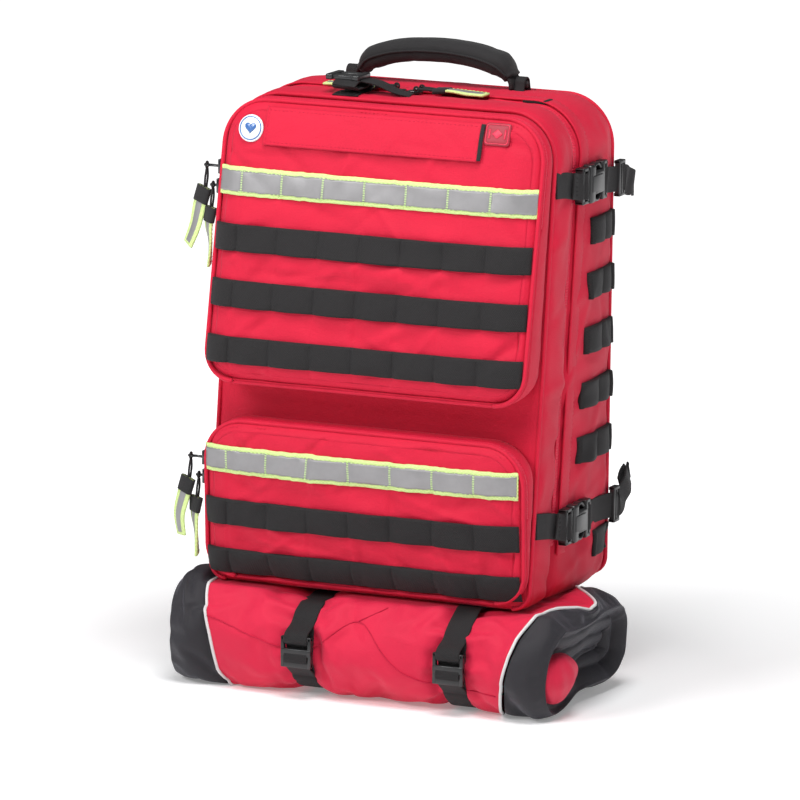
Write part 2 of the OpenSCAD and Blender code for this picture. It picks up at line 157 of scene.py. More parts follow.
def woven_cloth(name, colour, grain=1.0, rough=0.78, sheen=0.25, sheen_tint=None):
    """Plain weave: two noises drawn out along the two yarn ways, over a slow mottle of wear; the colour also
    darkens in the weave's low places, a painted shade.
    """
    material, tree, shader, add = shader_tree(name)
    where = add("ShaderNodeTexCoord")
    yarns = []
    for stretch in ((260, 260, 1700), (1700, 1700, 260)):
        mapping = add("ShaderNodeMapping")
        mapping.inputs["Scale"].default_value = stretch
        noise = add("ShaderNodeTexNoise", Scale=1.0 / grain, Detail=2.0)
        tree.links.new(where.outputs["Object"], mapping.inputs["Vector"])
        tree.links.new(mapping.outputs["Vector"], noise.inputs["Vector"])
        yarns.append(noise.outputs["Fac"])
    weave = add("ShaderNodeMath", operation="ADD")
    tree.links.new(yarns[0], weave.inputs[0])
    tree.links.new(yarns[1], weave.inputs[1])
    mottle = add("ShaderNodeTexNoise", Scale=22.0, Detail=5.0, Roughness=0.6)
    tree.links.new(where.outputs["Object"], mottle.inputs["Vector"])
    # Colour level: the weave height that drives the bump also darkens the weave's low places, a painted shade; the
    # slow mottle is the cloth's own uneven tone.
    level = add("ShaderNodeMath", operation="MULTIPLY_ADD")
    level.inputs[1].default_value = 0.13
    tree.links.new(weave.outputs[0], level.inputs[0])
    slow = add("ShaderNodeMath", operation="MULTIPLY_ADD")
    slow.inputs[1].default_value = 0.35
    slow.inputs[2].default_value = -0.12
    tree.links.new(mottle.outputs["Fac"], slow.inputs[0])
    tree.links.new(slow.outputs[0], level.inputs[2])
    tree.links.new(tinted(tree, add, colour, level.outputs[0], 0.72, 1.22), shader.inputs["Base Color"])
    bump = add("ShaderNodeBump", Strength=0.5, Distance=0.0006)
    tree.links.new(weave.outputs[0], bump.inputs["Height"])
    tree.links.new(bump.outputs["Normal"], shader.inputs["Normal"])
    shader.inputs["Roughness"].default_value = rough
    shader.inputs["Specular IOR Level"].default_value = 0.3
    shader.inputs["Sheen Weight"].default_value = sheen
    shader.inputs["Sheen Roughness"].default_value = 0.45
    shader.inputs["Sheen Tint"].default_value = (*(sheen_tint or colour), 1)
    return material


red_cloth = woven_cloth("red_cloth", (0.67, 0.004, 0.038), rough=0.66, sheen=0.14,
                        sheen_tint=(1, 0.45, 0.55))


def patch(points, closed_u=False, closed_v=False, cap_u=False, uv=None):
    """Quads over points[u, v]; closed_v joins the last column to the first, cap_u closes both ends."""
    nu, nv = points.shape[:2]
    index = np.arange(nu * nv).reshape(nu, nv)
    a = index if closed_u else index[:-1]
    b = np.roll(index, -1, 0) if closed_u else index[1:]
    if closed_v:
        quads = np.stack([a, b, np.roll(b, -1, 1), np.roll(a, -1, 1)], -1)
    else:
        quads = np.stack([a[:, :-1], b[:, :-1], b[:, 1:], a[:, 1:]], -1)
    faces = quads.reshape(-1, 4).tolist()
    if cap_u:
        faces += [index[0].tolist(), index[-1][::-1].tolist()]
    if uv is None:
        step_u = np.linalg.norm(np.diff(points, axis=0), axis=2).mean(1)
        step_v = np.linalg.norm(np.diff(points, axis=1), axis=2).mean(0)
        along = np.concatenate([[0], np.cumsum(step_u)])
        aside = np.concatenate([[0], np.cumsum(step_v)])
        uv = np.stack(np.meshgrid(along, aside, indexing="ij"), -1)
    return points.reshape(-1, 3), faces, uv.reshape(-1, 2)


def piece(name, patches, material, body=None, smooth=True, outward=True):
    """One object from patches; normals are made to agree and, on closed work, to face out."""
    count = 0
    points, faces, uvs = [], [], []
    for spots, polygons, uv in patches:
        points.append(spots)
        uvs.append(uv)
        faces += [[i + count for i in polygon] for polygon in polygons]
        count += len(spots)
    mesh = bpy.data.meshes.new(name)
    mesh.from_pydata(np.concatenate(points).tolist(), [], faces)
    layer = mesh.uv_layers.new(name="UVMap")
    corners = np.zeros(len(mesh.loops), int)
    mesh.loops.foreach_get("vertex_index", corners)
    layer.data.foreach_set("uv", np.concatenate(uvs)[corners].ravel())
    mesh.polygons.foreach_set("use_smooth", [smooth] * len(mesh.polygons))
    for one in material if isinstance(material, (list, tuple)) else [material]:
        mesh.materials.append(one)
    if outward:
        face_outward(mesh)
    made = bpy.data.objects.new(name, mesh)
    bpy.context.collection.objects.link(made)
    if body:
        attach(made, body)
    return made


def face_outward(mesh):
    """Turns each closed shell's faces to the outside; open sheets keep one agreed side."""
    work = bmesh.new()
    work.from_mesh(mesh)
    bmesh.ops.recalc_face_normals(work, faces=work.faces)
    work.to_mesh(mesh)
    work.free()


def facing_unit(vectors):
    return vectors / np.maximum(np.linalg.norm(vectors, axis=-1, keepdims=True), 1e-9)


def swept(path, profile, across, out, scale=None, cap=True):
    """Carries profile[k] = (aside, outward) along path[n], held by the unit vectors across and out."""
    path = np.asarray(path, float)
    across = np.broadcast_to(np.asarray(across, float), path.shape)
    out = np.broadcast_to(np.asarray(out, float), path.shape)
    profile = np.asarray(profile, float)
    size = np.ones(len(path)) if scale is None else np.asarray(scale, float)
    points = (path[:, None] + profile[None, :, :1] * size[:, None, None] * across[:, None]
              + profile[None, :, 1:] * size[:, None, None] * out[:, None])
    along = np.concatenate([[0], np.cumsum(np.linalg.norm(np.diff(path, axis=0), axis=1))])
    uv = np.stack(np.broadcast_arrays(along[:, None], profile[None, :, 0]), -1)
    return patch(points, closed_v=True, cap_u=cap, uv=uv)


def round_profile(radius, steps=10, flatten=1.0):
    """A circle of points, squashed outward by flatten."""
    angle = np.linspace(0, 2 * math.pi, steps, endpoint=False)
    return np.stack([radius * np.cos(angle), radius * flatten * np.sin(angle)], -1)


def corner_rows(low, high, low_r, high_r, arc, middle):
    """Heights up a rounded outline, close together round the corners, and how far each row pulls in."""
    turn = np.linspace(0, math.pi / 2, arc + 1)
    foot = low + low_r * (1 - np.cos(turn))
    head = high - high_r * (1 - np.cos(turn))[::-1]
    straight = np.linspace(low + low_r, high - high_r, middle + 2)[1:-1]
    pull = np.concatenate([low_r * (1 - np.sin(turn)), np.zeros(middle), high_r * (1 - np.sin(turn))[::-1]])
    return np.concatenate([foot, straight, head]), pull


def outline_grid(width, low, high, low_r, high_r, inset=0.0, columns=60, arc=10, middle=48):
    """Points that fill a rounded outline row by row: x runs from edge to edge of each row."""
    heights, pull = corner_rows(low + inset, high - inset, max(low_r - inset, 1e-4),
                                max(high_r - inset, 1e-4), arc, middle)
    reach = width / 2 - inset - pull
    share = np.linspace(-1, 1, columns)
    return reach[:, None] * share[None], np.repeat(heights[:, None], columns, 1)


def rim(grid):
    """The closed border of a grid, once round without a repeat."""
    return np.concatenate([grid[0, :-1], grid[:-1, -1], grid[-1, :0:-1], grid[:0:-1, 0]])


def creases(x, z, seed, count, area, size=(0.012, 0.05), height=0.0012):
    """Soft folds: a sum of drawn-out bell-shaped ridges at random places and angles in area."""
    chance = np.random.default_rng(seed)
    total = np.zeros(np.broadcast(x, z).shape)
    for _ in range(count):
        cx = chance.uniform(area[0], area[1])
        cz = chance.uniform(area[2], area[3])
        angle = chance.normal(0.0, 0.9)
        short = size[0] * chance.uniform(0.5, 1.2)
        long = size[1] * chance.uniform(0.5, 1.4)
        u = (x - cx) * math.cos(angle) + (z - cz) * math.sin(angle)
        v = -(x - cx) * math.sin(angle) + (z - cz) * math.cos(angle)
        total += chance.uniform(-1, 1) * height * np.exp(-(u / long) ** 2 - (v / short) ** 2)
    return total


def leaning(node, add_back=0.0, way=1):
    """The fore-and-aft place of a panel that leans back (or forward, way = -1) as it rises, from its CAD box."""
    low, high = (np.array(corner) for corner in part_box(node))
    lean = (high[1] - add_back - low[1]) / (high[2] - low[2])
    return lambda z: low[1] + lean * (z - low[2] if way > 0 else high[2] - z)


front_half = 0.047
half_zip = 0.003
panel_thick = 0.006
seam_y = leaning("front_shell", front_half - half_zip)
upper_y = leaning("upper_pocket_front", panel_thick)
lower_y = leaning("lower_pocket_front", panel_thick, -1)
bag_low, bag_high = (np.array(corner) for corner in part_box("back_shell"))
bag_width = bag_high[0] - bag_low[0]
back_y = bag_high[1]
bag_cut = dict(width=bag_width, low=bag_low[2], high=bag_high[2], low_r=0.018, high_r=0.048)


def middle_of(box):
    """The middle of a box given by its two corners."""
    return (np.array(box[0]) + np.array(box[1])) / 2


strap_heights = [middle_of(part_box(f"plug_{level}_right"))[2] for level in ("upper", "lower")]


def zip_y(z):
    return seam_y(z) + front_half


def ringed(cut, rings, front=None, rear=None, columns=72, arc=12, middle=64):
    """Rings of one outline, each (inset, y as a function of x and z), with optional filled ends."""
    patches = []
    loops = []
    for inset, depth in rings:
        x, z = outline_grid(**cut, inset=inset, columns=columns, arc=arc, middle=middle)
        points = np.stack([x, depth(x, z) + np.zeros_like(x), z], -1)
        loops.append(rim(points))
        if (front and len(loops) == 1) or (rear and len(loops) == len(rings)):
            patches.append(patch(points))
    patches.insert(0, patch(np.stack(loops), closed_v=True))
    return patches


def wall_folds(y, z):
    """How far the side walls stand out from their plain shape: slow folds, less a dent under each strap."""
    fold = creases(y, z, 31, 90, (-0.05, 0.16, 0.10, 0.57), (0.009, 0.05), 0.0026)
    dent = sum(np.exp(-((z - s) / 0.022) ** 2) for s in strap_heights) * 0.0024
    return fold - dent * np.clip((y - zip_y(z)) / 0.03, 0, 1) * np.clip((back_y - 0.005 - y) / 0.02, 0, 1)


def side_wall(y, z):
    """The side wall's distance from the middle of the bag behind the main zip."""
    share = np.clip((y - zip_y(z) - 0.0055) / (back_y - 0.0115 - zip_y(z)), 0, 1)
    return bag_width / 2 + 0.0045 * np.sin(math.pi * share) ** 0.8 + wall_folds(y, z)


def pull_cloth(points):
    """Slow folds and strap dents in the side walls and top of the bag."""
    x, y, z = points.T
    side = np.clip((np.abs(x) - bag_width / 2 + 0.012) / 0.010, 0, 1)
    top = np.clip((z - bag_high[2] + 0.012) / 0.010, 0, 1) * (1 - side)
    x = x + np.sign(x) * side * wall_folds(y, z)
    z = z + top * creases(x, y, 32, 60, (-0.16, 0.16, -0.03, 0.15), (0.008, 0.04), 0.0014)
    return np.stack([x, y, z], -1)


def between(share, start, end):
    """A fore-and-aft place part of the way from one leaning plane to another."""
    return lambda x, z: start(z) + share * (end(z) - start(z))


def flat_back(offset):
    return lambda x, z: back_y + offset


def past(plane, offset):
    return lambda x, z: plane(z) + offset


bag_rings = [(0.010, past(seam_y, 0.0)), (0.005, past(seam_y, 0.0003)), (0.002, past(seam_y, 0.0015)),
             (0.0005, past(seam_y, 0.004))]
bag_rings += [(-0.0022 * math.sin(math.pi * s), between(s, seam_y, zip_y)) for s in np.linspace(0.15, 0.84, 8)]
bag_rings += [(0.0006, past(zip_y, -0.0055)), (0.0030, past(zip_y, -0.0042)), (0.0034, past(zip_y, 0.0)),
              (0.0030, past(zip_y, 0.0042)), (0.0006, past(zip_y, 0.0055))]
bag_rings += [(-0.0045 * math.sin(math.pi * s) ** 0.8,
               lambda x, z, s=s: zip_y(z) + 0.0055 + s * (back_y - 0.0115 - zip_y(z)))
              for s in np.linspace(0.06, 0.96, 22)]
bag_rings += [(0.001, flat_back(-0.004)), (0.003, flat_back(-0.0015)), (0.007, flat_back(-0.0002)),
              (0.012, flat_back(0.0))]
bag_patches = ringed(bag_cut, bag_rings, front=True, rear=True, arc=16, middle=110)
bag_patches = [(pull_cloth(points), faces, uv) for points, faces, uv in bag_patches]
bag_shell = piece("bag_shell", bag_patches, red_cloth, "bag")
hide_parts("front_shell", "back_shell")


def arch(cut, inset, lowest=0.0, spacing=0.004):
    """The outline from its left foot over the top to its right foot, above lowest, evenly spaced."""
    x, z = outline_grid(**cut, inset=inset, columns=60, arc=24, middle=200)
    x = np.concatenate([x[:, 0], x[-1, 1:-1], x[::-1, -1]])
    z = np.concatenate([z[:, 0], z[-1, 1:-1], z[::-1, -1]])
    keep = z >= lowest
    x, z = x[keep], z[keep]
    run = np.concatenate([[0], np.cumsum(np.hypot(np.diff(x), np.diff(z)))])
    at = np.linspace(0, run[-1], int(run[-1] / spacing) + 1)
    return np.interp(at, run, x), np.interp(at, run, z)


def arch_frame(x, z):
    """Outward unit vectors of an arch, in the plane of its outline."""
    way = facing_unit(np.stack([np.gradient(x), np.zeros_like(x), np.gradient(z)], -1))
    return np.stack([-way[:, 2], np.zeros_like(x), way[:, 0]], -1)


def cord_round(cut, inset, depth, radius, lowest=0.0, flatten=1.0):
    """Piping: a round cord along the arch of an outline at the given fore-and-aft place."""
    x, z = arch(cut, inset, lowest)
    path = np.stack([x, depth(x, z) + np.zeros_like(x), z], -1)
    return swept(path, round_profile(radius, 10, flatten), (0, 1, 0), arch_frame(x, z))


bag_piping = piece("bag_piping", [cord_round(bag_cut, 0.0012, past(seam_y, 0.0008), 0.0021),
                                  cord_round(bag_cut, 0.0015, flat_back(-0.0012), 0.0022)], red_cloth, "bag")


# ---------------------------------------------------------------- zips
# A coil zip: two woven tapes and two rows of nylon coil. Each coil is a cord whose thickness
# rises and falls once a turn, so it reads as teeth.
def moulded(name, colour, rough=0.38, grain=0.25, coat=0.0):
    """Moulded plastic or enamel: fine spark-eroded grain and faint handling marks in the gloss."""
    material, tree, shader, add = shader_tree(name)
    where = add("ShaderNodeTexCoord")
    spark = add("ShaderNodeTexNoise", Scale=1400.0, Detail=2.0)
    marks = add("ShaderNodeTexNoise", Scale=60.0, Detail=4.0)
    for noise in (spark, marks):
        tree.links.new(where.outputs["Object"], noise.inputs["Vector"])
    gloss = add("ShaderNodeMapRange")
    gloss.inputs["To Min"].default_value = rough * 0.75
    gloss.inputs["To Max"].default_value = min(1, rough * 1.3)
    tree.links.new(marks.outputs["Fac"], gloss.inputs["Value"])
    tree.links.new(gloss.outputs["Result"], shader.inputs["Roughness"])
    tree.links.new(tinted(tree, add, colour, marks.outputs["Fac"], 0.85, 1.15), shader.inputs["Base Color"])
    bump = add("ShaderNodeBump", Strength=grain, Distance=0.0002)
    tree.links.new(spark.outputs["Fac"], bump.inputs["Height"])
    tree.links.new(bump.outputs["Normal"], shader.inputs["Normal"])
    shader.inputs["Coat Weight"].default_value = coat
    return material


zip_tape = woven_cloth("zip_tape", (0.56, 0.010, 0.045), grain=0.7, rough=0.7)
red_coil = moulded("red_coil", (0.62, 0.012, 0.05), rough=0.42)


def flat_profile(width, thick, round_part=0.45, steps=3):
    """A strap's section: a rectangle, width by thick, with its corners rounded."""
    radius = thick * round_part
    turn = np.linspace(0, math.pi / 2, steps)
    corners = []
    for k, (sx, sy) in enumerate(((1, 1), (-1, 1), (-1, -1), (1, -1))):
        angle = turn + k * math.pi / 2
        corners.append(np.stack([sx * (width / 2 - radius) + radius * np.cos(angle),
                                 sy * (thick / 2 - radius) + radius * np.sin(angle)], -1))
    return np.concatenate(corners)


def stitches(path, out, pitch=0.0042, length=0.0028, thick=0.0007):
    """A run of lockstitches: each one a small eight-faced lozenge lying along the seam."""
    path = np.asarray(path, float)
    run = np.concatenate([[0], np.cumsum(np.linalg.norm(np.diff(path, axis=0), axis=1))])
    at = np.arange(pitch / 2, run[-1], pitch)
    spots = np.stack([np.interp(at, run, path[:, k]) for k in range(3)], -1)
    ways = facing_unit(np.stack([np.interp(at, run, np.gradient(path[:, k], run)) for k in range(3)], -1))
    outs = np.broadcast_to(np.asarray(out, float), path.shape)
    outs = facing_unit(np.stack([np.interp(at, run, outs[:, k]) for k in range(3)], -1))
    sides = np.cross(ways, outs)
    shape = np.array([(-0.5, 0, 0), (0.5, 0, 0), (0, 0.5, 0), (0, -0.5, 0), (0, 0, 0.6), (0, 0, -0.5)])
    points = (spots[:, None] + shape[None, :, :1] * length * ways[:, None]
              + shape[None, :, 1:2] * thick * sides[:, None] + shape[None, :, 2:] * thick * outs[:, None])
    corners = np.array([(1, 2, 4), (2, 0, 4), (0, 3, 4), (3, 1, 4), (2, 1, 5), (0, 2, 5), (3, 0, 5), (1, 3, 5)])
    faces = (np.arange(len(at))[:, None, None] * 6 + corners[None]).reshape(-1, 3).tolist()
    return points.reshape(-1, 3), faces, np.zeros((len(at) * 6, 2))


coil_pitch = 0.0026


def coil(cut, inset, depth, radius, lowest):
    """One row of zip coil along an arch: radius times one plus a fifth of a squared-off wave."""
    x, z = arch(cut, inset, lowest, coil_pitch / 4)
    run = np.arange(len(x)) * coil_pitch / 4
    wave = np.clip(1.6 * np.cos(2 * math.pi * run / coil_pitch), -1, 1)
    path = np.stack([x, depth(x, z) + np.zeros_like(x), z], -1)
    return swept(path, round_profile(radius, 7, 0.8), (0, 1, 0), arch_frame(x, z), 1 + 0.22 * wave)


def tape(cut, inset, depth, width, lowest, thick=0.0008):
    """A flat woven tape along an arch, lying in its outline, width from front to back."""
    x, z = arch(cut, inset, lowest)
    path = np.stack([x, depth(x, z) + np.zeros_like(x), z], -1)
    return swept(path, flat_profile(width, thick), (0, 1, 0), arch_frame(x, z))


main_zip_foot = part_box("main_zip_chain")[0][2]
main_coil = piece("main_zip_coil", [coil(bag_cut, 0.0018, past(zip_y, side * 0.0014), 0.0017, main_zip_foot)
                                    for side in (-1, 1)], red_coil, "bag")
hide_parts("main_zip_chain")
main_tape = piece("main_zip_tape", [tape(bag_cut, 0.0029, past(zip_y, side * 0.0036), 0.0045, main_zip_foot)
                                    for side in (-1, 1)], zip_tape, "bag")
storm_x, storm_z = arch(bag_cut, -0.0022, main_zip_foot - 0.01)
storm_path = np.stack([storm_x, zip_y(storm_z) + 0.0150, storm_z], -1)
storm_flap = piece("zip_storm_flap", [swept(storm_path, flat_profile(0.019, 0.0022), (0, 1, 0),
                                            arch_frame(storm_x, storm_z)),
                                      stitches(storm_path + (0, 0.0075, 0) + 0.0011 * arch_frame(storm_x, storm_z),
                                               arch_frame(storm_x, storm_z))], red_cloth, "bag")


# ---------------------------------------------------------------- front pockets
# Each pocket is a crowned front panel, a zip round its upper rim and a gusset sewn to the bag.
# The panel above the zip's ends folds down; the outer zip half goes with the flap, but the panel itself is one
# piece that does not bend.
def modifier(made, kind, **settings):
    """Adds one modifier and returns the object, so that calls can be chained."""
    added = made.modifiers.new(kind.lower(), kind)
    for key, value in settings.items():
        setattr(added, key, value)
    return made


bar_first = -0.1375
bar_step = 0.0426
bars = bar_first + bar_step * np.arange(7)
web_width = 0.025


class Pocket:
    """One front pocket: its outline, its leaning front plane, its fold height and its crown."""

    def __init__(self, name, plane, low_r, high_r, crown, rumple, seed, rows, band):
        self.name, self.plane, self.crown, self.rumple, self.seed = name, plane, crown, rumple, seed
        low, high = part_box(f"{name}_pocket_gusset")
        self.low, self.high, self.half = low[2], high[2], high[0]
        self.cut = dict(width=2 * high[0], low=low[2], high=high[2], low_r=low_r, high_r=high_r)
        self.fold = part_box(f"{name}_pocket_flap")[0][2]
        self.rows, self.band = rows, band

    def front(self, x, z, wrinkled=True):
        """The panel's outer face: plane less crown, rolled away at the foot and the two ends."""
        across = np.clip(np.abs(x) / self.half, 0, 1)
        rise = np.clip((z - self.low) / (self.high - self.low), 0, 1) * 2 - 1
        y = self.plane(z) - self.crown * (1 - across ** 4) * (1 - np.abs(rise) ** 4)
        y = y + 0.009 * np.clip((self.low + 0.030 - z) / 0.030, 0, 1) ** 2
        y = y + 0.006 * np.clip((np.abs(x) - self.half + 0.030) / 0.030, 0, 1) ** 2
        y = y + 0.003 * np.clip((z - self.high + 0.022) / 0.022, 0, 1) ** 2
        if wrinkled:
            gap = sum(np.exp(-((x - bar) / 0.0016) ** 2) for bar in bars)
            stitched = np.clip((self.fold + 0.03 - z) / 0.01, 0, 1)
            y = y + 0.0006 * gap * stitched
            near = sum(np.exp(-((z - row) / 0.016) ** 2) for row in (*self.rows, self.band))
            area = (-self.half, self.half, self.low, self.high)
            y = y - (1 - 0.75 * np.clip(near, 0, 1)) * (
                creases(x, z, self.seed, 130, area, (0.007, 0.035), self.rumple)
                + creases(x, z, self.seed + 1, 14, area, (0.022, 0.09), 0.0036))
        return y

    def zip_gap(self, z):
        """How far behind the panel's face the gusset starts: past the zip, or straight at the panel."""
        return 0.0070 + 0.0050 * np.clip((z - self.fold + 0.004) / 0.008, 0, 1)


def row_centre(node, index, count):
    """The height of one webbing row out of count, top row first, from the node's CAD box."""
    low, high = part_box(node)[0][2] + web_width / 2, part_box(node)[1][2] - web_width / 2
    return high + (low - high) * index / max(count - 1, 1)


upper_rows = [row_centre("upper_webbing_rows", k, 3) for k in range(3)]
lower_rows = [row_centre("lower_webbing_rows", k, 2) for k in range(2)]
upper_band = middle_of(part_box("upper_reflective_strip"))[2]
lower_band = middle_of(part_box("lower_reflective_strip"))[2]
upper = Pocket("upper", upper_y, 0.030, 0.042, 0.006, 0.0026, 51, upper_rows, upper_band)
lower = Pocket("lower", lower_y, 0.030, 0.040, 0.007, 0.0036, 77, lower_rows, lower_band)


def pocket_panel(pocket):
    """The crowned front, its rolled edge and the bound seam round it."""
    face = lambda x, z: pocket.front(x, z)
    plain = lambda back: (lambda x, z: pocket.front(x, z, False) + back)
    rings = [(0.010, face), (0.0075, plain(0.0004)), (0.005, plain(0.0011)), (0.003, plain(0.0022)),
             (0.0012, plain(0.0040)), (0.0010, lambda x, z: pocket.plane(z) + 0.0068)]
    patches = ringed(pocket.cut, rings, front=True, columns=150, arc=16, middle=110)
    panel = piece(f"{pocket.name}_pocket_panel", patches, [red_cloth])
    edge = arch(pocket.cut, 0.0008, 0.0)
    path = np.stack([edge[0], pocket.plane(edge[1]) + 0.0052, edge[1]], -1)
    out = arch_frame(*edge)
    binding = piece(f"{pocket.name}_pocket_binding",
                    [swept(path, round_profile(0.0021, 10), (0, 1, 0), out),
                     stitches(np.stack([edge[0] - out[:, 0] * 0.004, pocket.front(*edge) + 0.0002,
                                        edge[1] - out[:, 2] * 0.004], -1), (0, -1, 0))], red_cloth)
    modifier(panel, "SOLIDIFY", thickness=0.0028, offset=-1.0)
    for made in (panel, binding):
        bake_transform(made)
    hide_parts(f"{pocket.name}_pocket_front", f"{pocket.name}_pocket_flap")
    return panel


def pocket_gusset(pocket):
    """The side wall of the pocket: from the zip or the panel back to the bag, pinched at its seam."""
    start = lambda x, z: pocket.plane(z) + pocket.zip_gap(z)
    rings = [(0.0016, start)]
    for share in np.linspace(0.06, 0.9, 9):
        rings.append((-0.0016 * math.sin(math.pi * share) + 0.0028 * share ** 4,
                      lambda x, z, s=share: start(x, z) + s * (seam_y(z) - start(x, z))))
    rings.append((0.0045, past(seam_y, -0.0004)))
    patches = ringed(pocket.cut, rings, columns=72, arc=16, middle=90)
    points, faces, uv = patches[0]
    fold = creases(points[:, 1], points[:, 2] + points[:, 0] * 0.5, pocket.seed + 5, 60,
                   (-0.08, 0.0, pocket.low - 0.1, pocket.high + 0.1), (0.006, 0.03), 0.0009)
    points = points + np.stack([np.sign(points[:, 0]) * fold, np.zeros_like(fold), fold], -1) * 0.6
    gusset = piece(f"{pocket.name}_pocket_side", [(points, faces, uv)], red_cloth, "bag")
    modifier(gusset, "SOLIDIFY", thickness=0.0018, offset=-1.0)
    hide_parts(f"{pocket.name}_pocket_gusset")
    return gusset


def pocket_zip(pocket):
    """The rim zip: one coil and tape stay on the gusset and the others go with the flap."""
    for half, body, depth in (("outer", f"{pocket.name}_flap", 0.0082), ("inner", "bag", 0.0105)):
        side = -1 if half == "outer" else 1
        chain = piece(f"{pocket.name}_zip_{half}",
                      [coil(pocket.cut, 0.0002, past(pocket.plane, depth), 0.0016, pocket.fold + 0.002)],
                      red_coil, body)
        cloth = piece(f"{pocket.name}_zip_tape_{half}",
                      [tape(pocket.cut, 0.0014, past(pocket.plane, depth + side * 0.0006), 0.0026,
                            pocket.fold + 0.001)], zip_tape, body)
    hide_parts(f"{pocket.name}_zip_chain")


for pocket in (upper, lower):
    pocket_panel(pocket)
    pocket_gusset(pocket)
    pocket_zip(pocket)


# ---------------------------------------------------------------- webbing rows and reflective strips
# 25 mm webbing laid flat across each pocket and bar-tacked every 43 mm, so each cell bows out a little.
def ribbed_webbing(name, colour, rib=0.0017, lanes=9.0, rough=0.7):
    """Webbing: ribs across the strap, broken into lanes along it, from the strap's own UV map in metres; the colour
    is lighter on the rib tops and darker between them, a painted highlight and shade.
    """
    material, tree, shader, add = shader_tree(name)
    where = add("ShaderNodeUVMap")
    split = add("ShaderNodeSeparateXYZ")
    tree.links.new(where.outputs["UV"], split.inputs[0])
    waves = []
    for socket, rate in (("X", 2 * math.pi / rib), ("Y", 2 * math.pi * lanes / 0.025)):
        turn = add("ShaderNodeMath", operation="MULTIPLY")
        turn.inputs[1].default_value = rate
        sine = add("ShaderNodeMath", operation="SINE")
        tree.links.new(split.outputs[socket], turn.inputs[0])
        tree.links.new(turn.outputs[0], sine.inputs[0])
        waves.append(sine.outputs[0])
    weave = add("ShaderNodeMath", operation="MULTIPLY_ADD")
    weave.inputs[2].default_value = 0.5
    half = add("ShaderNodeMath", operation="MULTIPLY")
    half.inputs[1].default_value = 0.5
    tree.links.new(waves[1], half.inputs[0])
    tree.links.new(waves[0], weave.inputs[0])
    tree.links.new(half.outputs[0], weave.inputs[1])
    fuzz = add("ShaderNodeTexNoise", Scale=900.0, Detail=3.0)
    place = add("ShaderNodeTexCoord")
    tree.links.new(place.outputs["Object"], fuzz.inputs["Vector"])
    height = add("ShaderNodeMath", operation="ADD")
    tree.links.new(weave.outputs[0], height.inputs[0])
    tree.links.new(fuzz.outputs["Fac"], height.inputs[1])
    # Colour from the rib height: painted highlight on the rib tops and painted shade between them.
    tree.links.new(tinted(tree, add, colour, weave.outputs[0], 0.55, 1.6), shader.inputs["Base Color"])
    bump = add("ShaderNodeBump", Strength=0.7, Distance=0.0005)
    tree.links.new(height.outputs[0], bump.inputs["Height"])
    tree.links.new(bump.outputs["Normal"], shader.inputs["Normal"])
    shader.inputs["Roughness"].default_value = rough
    shader.inputs["Specular IOR Level"].default_value = 0.3
    shader.inputs["Sheen Weight"].default_value = 0.09
    shader.inputs["Sheen Tint"].default_value = (0.5, 0.5, 0.52, 1)
    return material


black_web = ribbed_webbing("black_web", (0.0100, 0.0088, 0.0094))


def cell_bow(x, tacks, start, end, height, chance):
    """Height of a strap between its bar tacks: a flattened half wave over each cell."""
    edges = np.concatenate([[start], tacks, [end]])
    cell = np.clip(np.searchsorted(edges, x, side="right") - 1, 0, len(edges) - 2)
    share = (x - edges[cell]) / (edges[cell + 1] - edges[cell])
    gain = chance.uniform(0.6, 1.25, len(edges) - 1)
    return height * gain[cell] * np.sin(math.pi * np.clip(share, 0, 1)) ** 0.7


def laid_strap(face, z_mid, start, end, tacks, width=web_width, thick=0.0019, bow=0.0028, lift=0.0,
               seed=0, ragged=0.0, step=0.0021):
    """A strap laid across a pocket face: a closed section that follows the face at every point."""
    chance = np.random.default_rng(1000 + seed)
    x = np.unique(np.concatenate([np.arange(start, end, step), [end], *[
        [t - 0.0011, t - 0.0004, t + 0.0004, t + 0.0011] for t in tacks]]))
    reach = width / 2
    side = np.array([-1, -1, -0.985, -0.8, -0.4, 0, 0.4, 0.8, 0.985, 1, 1])
    depth = np.array([0, 0.6, 1, 1.05, 1.1, 1.12, 1.1, 1.05, 1, 0.6, 0])
    raise_by = cell_bow(x, tacks, start, end, bow, chance)
    edge = reach + ragged * np.interp(x, np.linspace(start, end, 90), chance.uniform(-1, 1, 90))
    z = z_mid + side[None] * edge[:, None]
    y = face(x[:, None] + 0 * z, z) - lift - depth[None] * (thick + raise_by[:, None])
    front = np.stack([x[:, None] + 0 * z, y, z], -1)
    behind = front[:, ::-1][:, 1:-1].copy()
    behind[..., 1] = face(behind[..., 0], behind[..., 2]) - lift + 0.0004
    loop = np.concatenate([front, behind], 1)
    uv = np.stack([loop[..., 0], loop[..., 2] - z_mid], -1)
    return patch(loop, closed_v=True, cap_u=True, uv=uv)


def bar_tacks(face, z_mid, tacks, width=web_width, lift=0.0, count=3):
    """Short dense zigzag bars that hold a strap down at each cell's edge."""
    made = []
    for tack in tacks:
        for k in range(count):
            z = np.linspace(z_mid - width * 0.44, z_mid + width * 0.44, 12)
            x = np.full_like(z, tack + (k - (count - 1) / 2) * 0.0007)
            y = face(x, z) - lift
            made.append(stitches(np.stack([x, y, z], -1), (0, -1, 0), 0.0022, 0.0022, 0.0006))
    return made


def rows_on(pocket, name, heights, start, end, body, node):
    patches = []
    for k, z in enumerate(heights):
        patches.append(laid_strap(pocket.front, z, start, end, bars, seed=pocket.seed + k))
        patches += bar_tacks(pocket.front, z, bars, lift=0.0021)
    made = piece(name, patches, black_web, body)
    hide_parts(node)
    return made


rows_on(upper, "upper_rows", upper_rows, -upper.half + 0.0012, upper.half - 0.0035, "bag", "upper_webbing_rows")
rows_on(lower, "lower_rows", lower_rows, -lower.half + 0.0012, lower.half - 0.0045, "bag", "lower_webbing_rows")

lime_tape = ribbed_webbing("lime_tape", (0.56, 0.90, 0.27), rib=0.0013, lanes=7, rough=0.6)
lime_thread = moulded("lime_thread", (0.66, 0.93, 0.36), rough=0.6)


